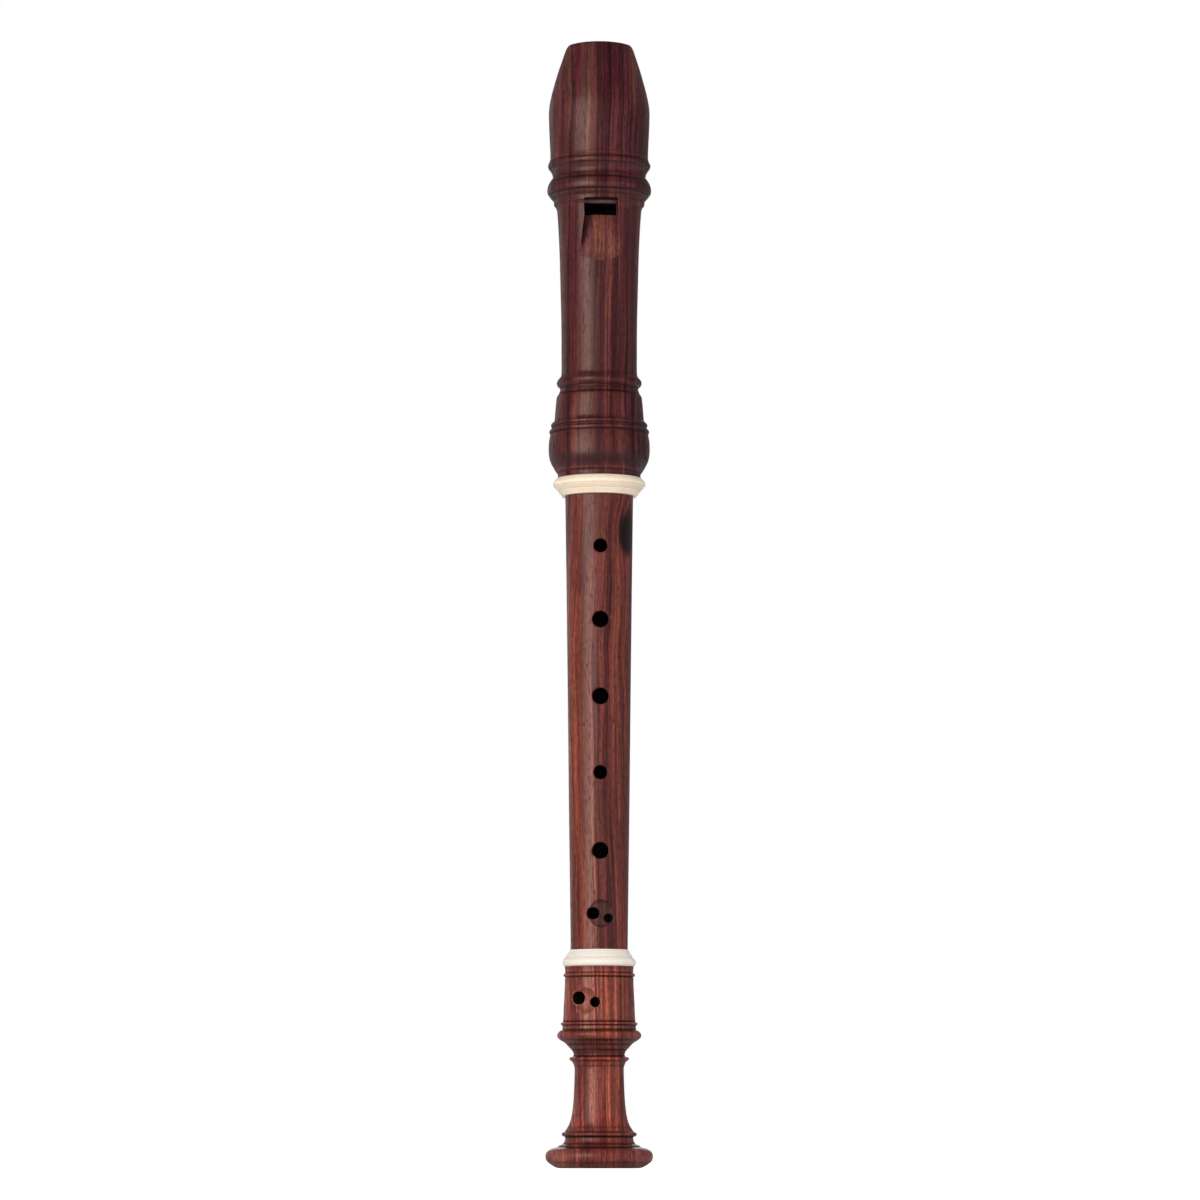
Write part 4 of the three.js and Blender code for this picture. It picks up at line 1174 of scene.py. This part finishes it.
# painted shade: a darker tone for the milled recess floor round the double hole
middle_recess_shade = rosewood("middle_recess_painted_shade", 2.0, [
    (0.15, (0.020, 0.0070, 0.0080)), (0.5, (0.058, 0.0170, 0.0160)), (0.85, (0.110, 0.0360, 0.0300))], MIDDLE_STREAKS[:6],
    drift=MIDDLE_DRIFT, roughness=0.5, fine=0.8, value=0.95)
FOOT_STREAKS = [
    (-7.3, 1.2, (0.125, 0.0190, 0.0175), 0.7, 12.0, None),
    (-4.4, 0.8, (0.150, 0.0290, 0.0270), 0.6, 10.0, 31.0),
    (-3.6, 1.5, (0.370, 0.1080, 0.0570), 0.6, 36.0, None),
    (-2.0, 1.0, (0.330, 0.0900, 0.0520), 0.5, 10.0, 31.0),
    (-0.5, 0.45, (0.230, 0.0440, 0.0280), 0.5, None, None),
    (0.70, 0.42, (0.450, 0.1150, 0.0620), 0.80, 34.0, None),
    (1.45, 0.40, (0.100, 0.0120, 0.0085), 0.92, None, None),
    (2.35, 0.48, (0.400, 0.0950, 0.0500), 0.68, None, None),
    (3.65, 0.55, (0.120, 0.0220, 0.0135), 0.82, None, None),
    (4.75, 0.52, (0.340, 0.0830, 0.0440), 0.7, None, None),
    (6.2, 0.60, (0.105, 0.0200, 0.0145), 0.85, None, None),
    (7.1, 0.50, (0.300, 0.0850, 0.0530), 0.6, 38.0, None),
    (8.9, 0.9, (0.098, 0.0210, 0.0170), 0.7, None, None),
    (0.0, 40.0, (0.080, 0.0180, 0.0220), 0.50, 32.3, 37.2),
    (0.0, 40.0, (0.085, 0.0190, 0.0230), 0.45, 7.2, 11.5),
    (0.0, 42.0, (0.040, 0.0090, 0.0140), 0.60, 5.3, 6.9),
    (0.0, 41.0, (0.150, 0.0380, 0.0350), 0.42, None, 4.6),
    (-12.2, 2.6, (0.420, 0.1500, 0.1050), 0.55, None, 4.6),
    (12.0, 2.0, (0.300, 0.1050, 0.0850), 0.45, None, 4.6)]
FOOT_DRIFT = [(0.0, 0.1), (20.0, 0.0), (30.0, 0.0), (40.0, -0.5), (60.0, -0.65)]
foot_wood = rosewood("foot_wood", 3.0, FOOT_RAMP, FOOT_STREAKS, drift=FOOT_DRIFT, fine=1.05, value=0.90, shade_and_grime_lines=FOOT_SHADE_AND_GRIME_LINES, wander=0.3)
foot_cut = rosewood("foot_cut_wood", 3.0, FOOT_RAMP, FOOT_STREAKS, drift=FOOT_DRIFT, roughness=0.35, fine=1.0, value=0.86, wander=0.3)
# painted highlight: lighter wood for the rounded rims of the foot holes
foot_rim_highlight = rosewood("foot_hole_rim_painted_highlight", 3.0, FOOT_RAMP, [], roughness=0.4, fine=0.5, value=1.5)
bore = bore_wood("oiled_bore_and_painted_shade", 1)
ring_ivory = ivory("imitation_ivory", 1.0, (0.985, 0.825, 0.655), (0.62, 0.40, 0.24), grime_and_shade=0.30)
foot_ivory = ivory("imitation_ivory_foot", 4.0, (0.985, 0.90, 0.81), (0.72, 0.50, 0.33), grime_and_shade=0.55)
cedar_wood = cedar("pencil_cedar")
# painted shade: near-black wood for the block's end, in shade inside the window
cedar_end_shade = bore_wood("cedar_end_painted_shade", 7)
tenon_cork = cork_material("tenon_cork")


def wear(ob, *materials):
    me = ob.data
    index = [0] * len(me.polygons)
    me.polygons.foreach_get("material_index", index)
    me.materials.clear()
    for m in materials:
        me.materials.append(m)
    me.polygons.foreach_set("material_index", index)
    me.update()


# the windway (index 3) and the window's top wall wear the near-black bore wood as painted shade
wear(head, head_wood, bore, head_cut, bore, windway_bevel_sheen)
wear(middle, middle_wood, bore, middle_recess_shade)
wear(foot, foot_wood, bore, foot_cut, foot_rim_highlight)
wear(head_ring, ring_ivory)
wear(foot_ring, foot_ivory)
wear(block, cedar_wood, cedar_end_shade)
wear(upper_cork, tenon_cork)
wear(lower_cork, tenon_cork)

for ob, body, node, slot in [
        (head, "head", "head_joint", "head_wood"), (head_ring, "head", "head_ring", "imitation_ivory"),
        (block, "head", "block", "cedar_block"), (middle, "middle", "middle_joint", "middle_wood"),
        (upper_cork, "middle", "upper_tenon_cork", "tenon_cork"), (lower_cork, "middle", "lower_tenon_cork", "tenon_cork"),
        (foot, "foot", "foot_joint", "foot_wood"), (foot_ring, "foot", "foot_ring", "imitation_ivory")]:
    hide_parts(node)
    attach(ob, body)

# -------------------------------------------------------------- stage and light
bpy.ops.mesh.primitive_plane_add(size=8.0, location=(0, 0, -0.0003))
floor = bpy.context.active_object
floor.name = "floor"
fm = bpy.data.materials.new("floor_white")
fm.use_nodes = True
nt = fm.node_tree
nt.nodes.clear()
fo = nt.nodes.new("ShaderNodeOutputMaterial")
add = nt.nodes.new("ShaderNodeAddShader")
dif = nt.nodes.new("ShaderNodeBsdfDiffuse")
dif.inputs["Color"].default_value = (0.8, 0.8, 0.8, 1)
em = nt.nodes.new("ShaderNodeEmission")
lp = nt.nodes.new("ShaderNodeLightPath")
mul = nt.nodes.new("ShaderNodeMath")
mul.operation = "MULTIPLY"
nt.links.new(lp.outputs["Is Camera Ray"], mul.inputs[0])
place = nt.nodes.new("ShaderNodeTexCoord")
away = nt.nodes.new("ShaderNodeVectorMath")
away.operation = "LENGTH"
nt.links.new(place.outputs["Object"], away.inputs[0])
glow = nt.nodes.new("ShaderNodeMapRange")
glow.interpolation_type = "SMOOTHSTEP"
for key, val in (("From Min", 0.03), ("From Max", 0.45), ("To Min", 0.78), ("To Max", 1.05)):
    glow.inputs[key].default_value = val
nt.links.new(away.outputs["Value"], glow.inputs["Value"])
nt.links.new(glow.outputs[0], mul.inputs[1])
tone = nt.nodes.new("ShaderNodeMapRange")
tone.inputs["To Min"].default_value = 0.66
tone.inputs["To Max"].default_value = 0.80
nt.links.new(lp.outputs["Is Camera Ray"], tone.inputs["Value"])
nt.links.new(tone.outputs[0], dif.inputs["Color"])
nt.links.new(mul.outputs[0], em.inputs["Strength"])
nt.links.new(dif.outputs[0], add.inputs[0])
nt.links.new(em.outputs[0], add.inputs[1])
nt.links.new(add.outputs[0], fo.inputs["Surface"])
floor.data.materials.append(fm)

# The studio: white to the eye everywhere, bright behind the object, dim in front
world = bpy.data.worlds.new("studio")
scene.world = world
world.use_nodes = True
wt = world.node_tree
wt.nodes.clear()
wo = wt.nodes.new("ShaderNodeOutputWorld")
bg_eye = wt.nodes.new("ShaderNodeBackground")
bg_eye.inputs["Color"].default_value = (1, 1, 1, 1)
bg_eye.inputs["Strength"].default_value = 1.0
bg_light = wt.nodes.new("ShaderNodeBackground")
wtc = wt.nodes.new("ShaderNodeTexCoord")
wsep = wt.nodes.new("ShaderNodeSeparateXYZ")
wt.links.new(wtc.outputs["Generated"], wsep.inputs[0])
wmap = wt.nodes.new("ShaderNodeMapRange")
wmap.interpolation_type = "SMOOTHSTEP"
wmap.inputs["From Min"].default_value = -0.35
wmap.inputs["From Max"].default_value = 0.55
wmap.inputs["To Min"].default_value = 0.07
wmap.inputs["To Max"].default_value = 0.22
wt.links.new(wsep.outputs[1], wmap.inputs["Value"])
wt.links.new(wmap.outputs[0], bg_light.inputs["Strength"])
wmix = wt.nodes.new("ShaderNodeMixShader")
wlp = wt.nodes.new("ShaderNodeLightPath")
wt.links.new(wlp.outputs["Is Camera Ray"], wmix.inputs[0])
wt.links.new(bg_light.outputs[0], wmix.inputs[1])
wt.links.new(bg_eye.outputs[0], wmix.inputs[2])
wt.links.new(wmix.outputs[0], wo.inputs["Surface"])


def softbox(name, azimuth, distance, height, size_x, size_y, radiance, color=(1, 1, 1), glossy=True, diffuse=True):
    """An upright panel facing the axis; azimuth 0 is in front (-Y), positive towards +X."""
    light = bpy.data.lights.new(name, "AREA")
    light.shape = "RECTANGLE"
    light.size, light.size_y = size_x, size_y
    light.energy = radiance * math.pi * size_x * size_y
    light.color = color
    ob = bpy.data.objects.new(name, light)
    scene.collection.objects.link(ob)
    a = math.radians(azimuth)
    ob.location = (distance * math.sin(a), -distance * math.cos(a), height)
    ob.rotation_mode = "QUATERNION"
    ob.rotation_quaternion = Vector((-math.sin(a), math.cos(a), 0.0)).to_track_quat("-Z", "Y")
    ob.visible_camera = False
    ob.visible_glossy = glossy
    ob.visible_diffuse = diffuse
    return ob


softbox("key", -39.0, 0.80, 0.305, 0.50, 0.57, 3.2, (1.0, 0.955, 0.90))
softbox("key_low", -39.0, 0.78, 0.110, 0.50, 0.24, 1.6, (1.0, 0.955, 0.90))
softbox("key_upper", -37.0, 0.80, 0.675, 0.46, 0.17, 2.1, (1.0, 0.94, 0.86))
softbox("key_top", -36.0, 0.80, 0.90, 0.44, 0.28, 0.9, (1.0, 0.93, 0.85))
softbox("back_key", 178.0, 1.0, 0.30, 0.42, 0.80, 1.7)
softbox("fill_front", 0.0, 1.3, 0.17, 1.0, 0.8, 3.15, glossy=False)
softbox("fill_left", -78.0, 1.3, 0.17, 0.8, 0.8, 0.8, glossy=False)
softbox("rim_left", -142.0, 1.3, 0.25, 0.6, 1.1, 0.40, (1.0, 0.90, 0.80), diffuse=False)
softbox("fill_right", 60.0, 1.3, 0.17, 1.0, 0.8, 3.4, glossy=False)
softbox("fill_back_right", 128.0, 1.3, 0.17, 1.0, 0.8, 2.8, glossy=False)
softbox("fill_back_left", -128.0, 1.3, 0.17, 1.0, 0.8, 2.8, glossy=False)

# --------------------------------------------------------------------- camera
cam_data = bpy.data.cameras.new("camera")
cam = bpy.data.objects.new("camera", cam_data)
scene.collection.objects.link(cam)
scene.camera = cam
DIST, AZ, CAM_Z, PITCH = 1.53, math.radians(2.4), 0.004, math.radians(6.02444)
cam_data.sensor_width = 36.0
cam_data.sensor_fit = "HORIZONTAL"
cam_data.lens = 157.571
cam_data.clip_start, cam_data.clip_end = 0.05, 50.0
cam.location = (-DIST * math.sin(AZ), -DIST * math.cos(AZ), CAM_Z)
YAW = AZ + math.radians(0.0087)
look = Vector((math.sin(YAW) * math.cos(PITCH), math.cos(YAW) * math.cos(PITCH), math.sin(PITCH)))
cam.rotation_mode = "QUATERNION"
cam.rotation_quaternion = look.to_track_quat("-Z", "Y")

scene.view_settings.view_transform = "Standard"
scene.view_settings.look = "None"
scene.view_settings.exposure = 0.0
scene.view_settings.gamma = 1.0
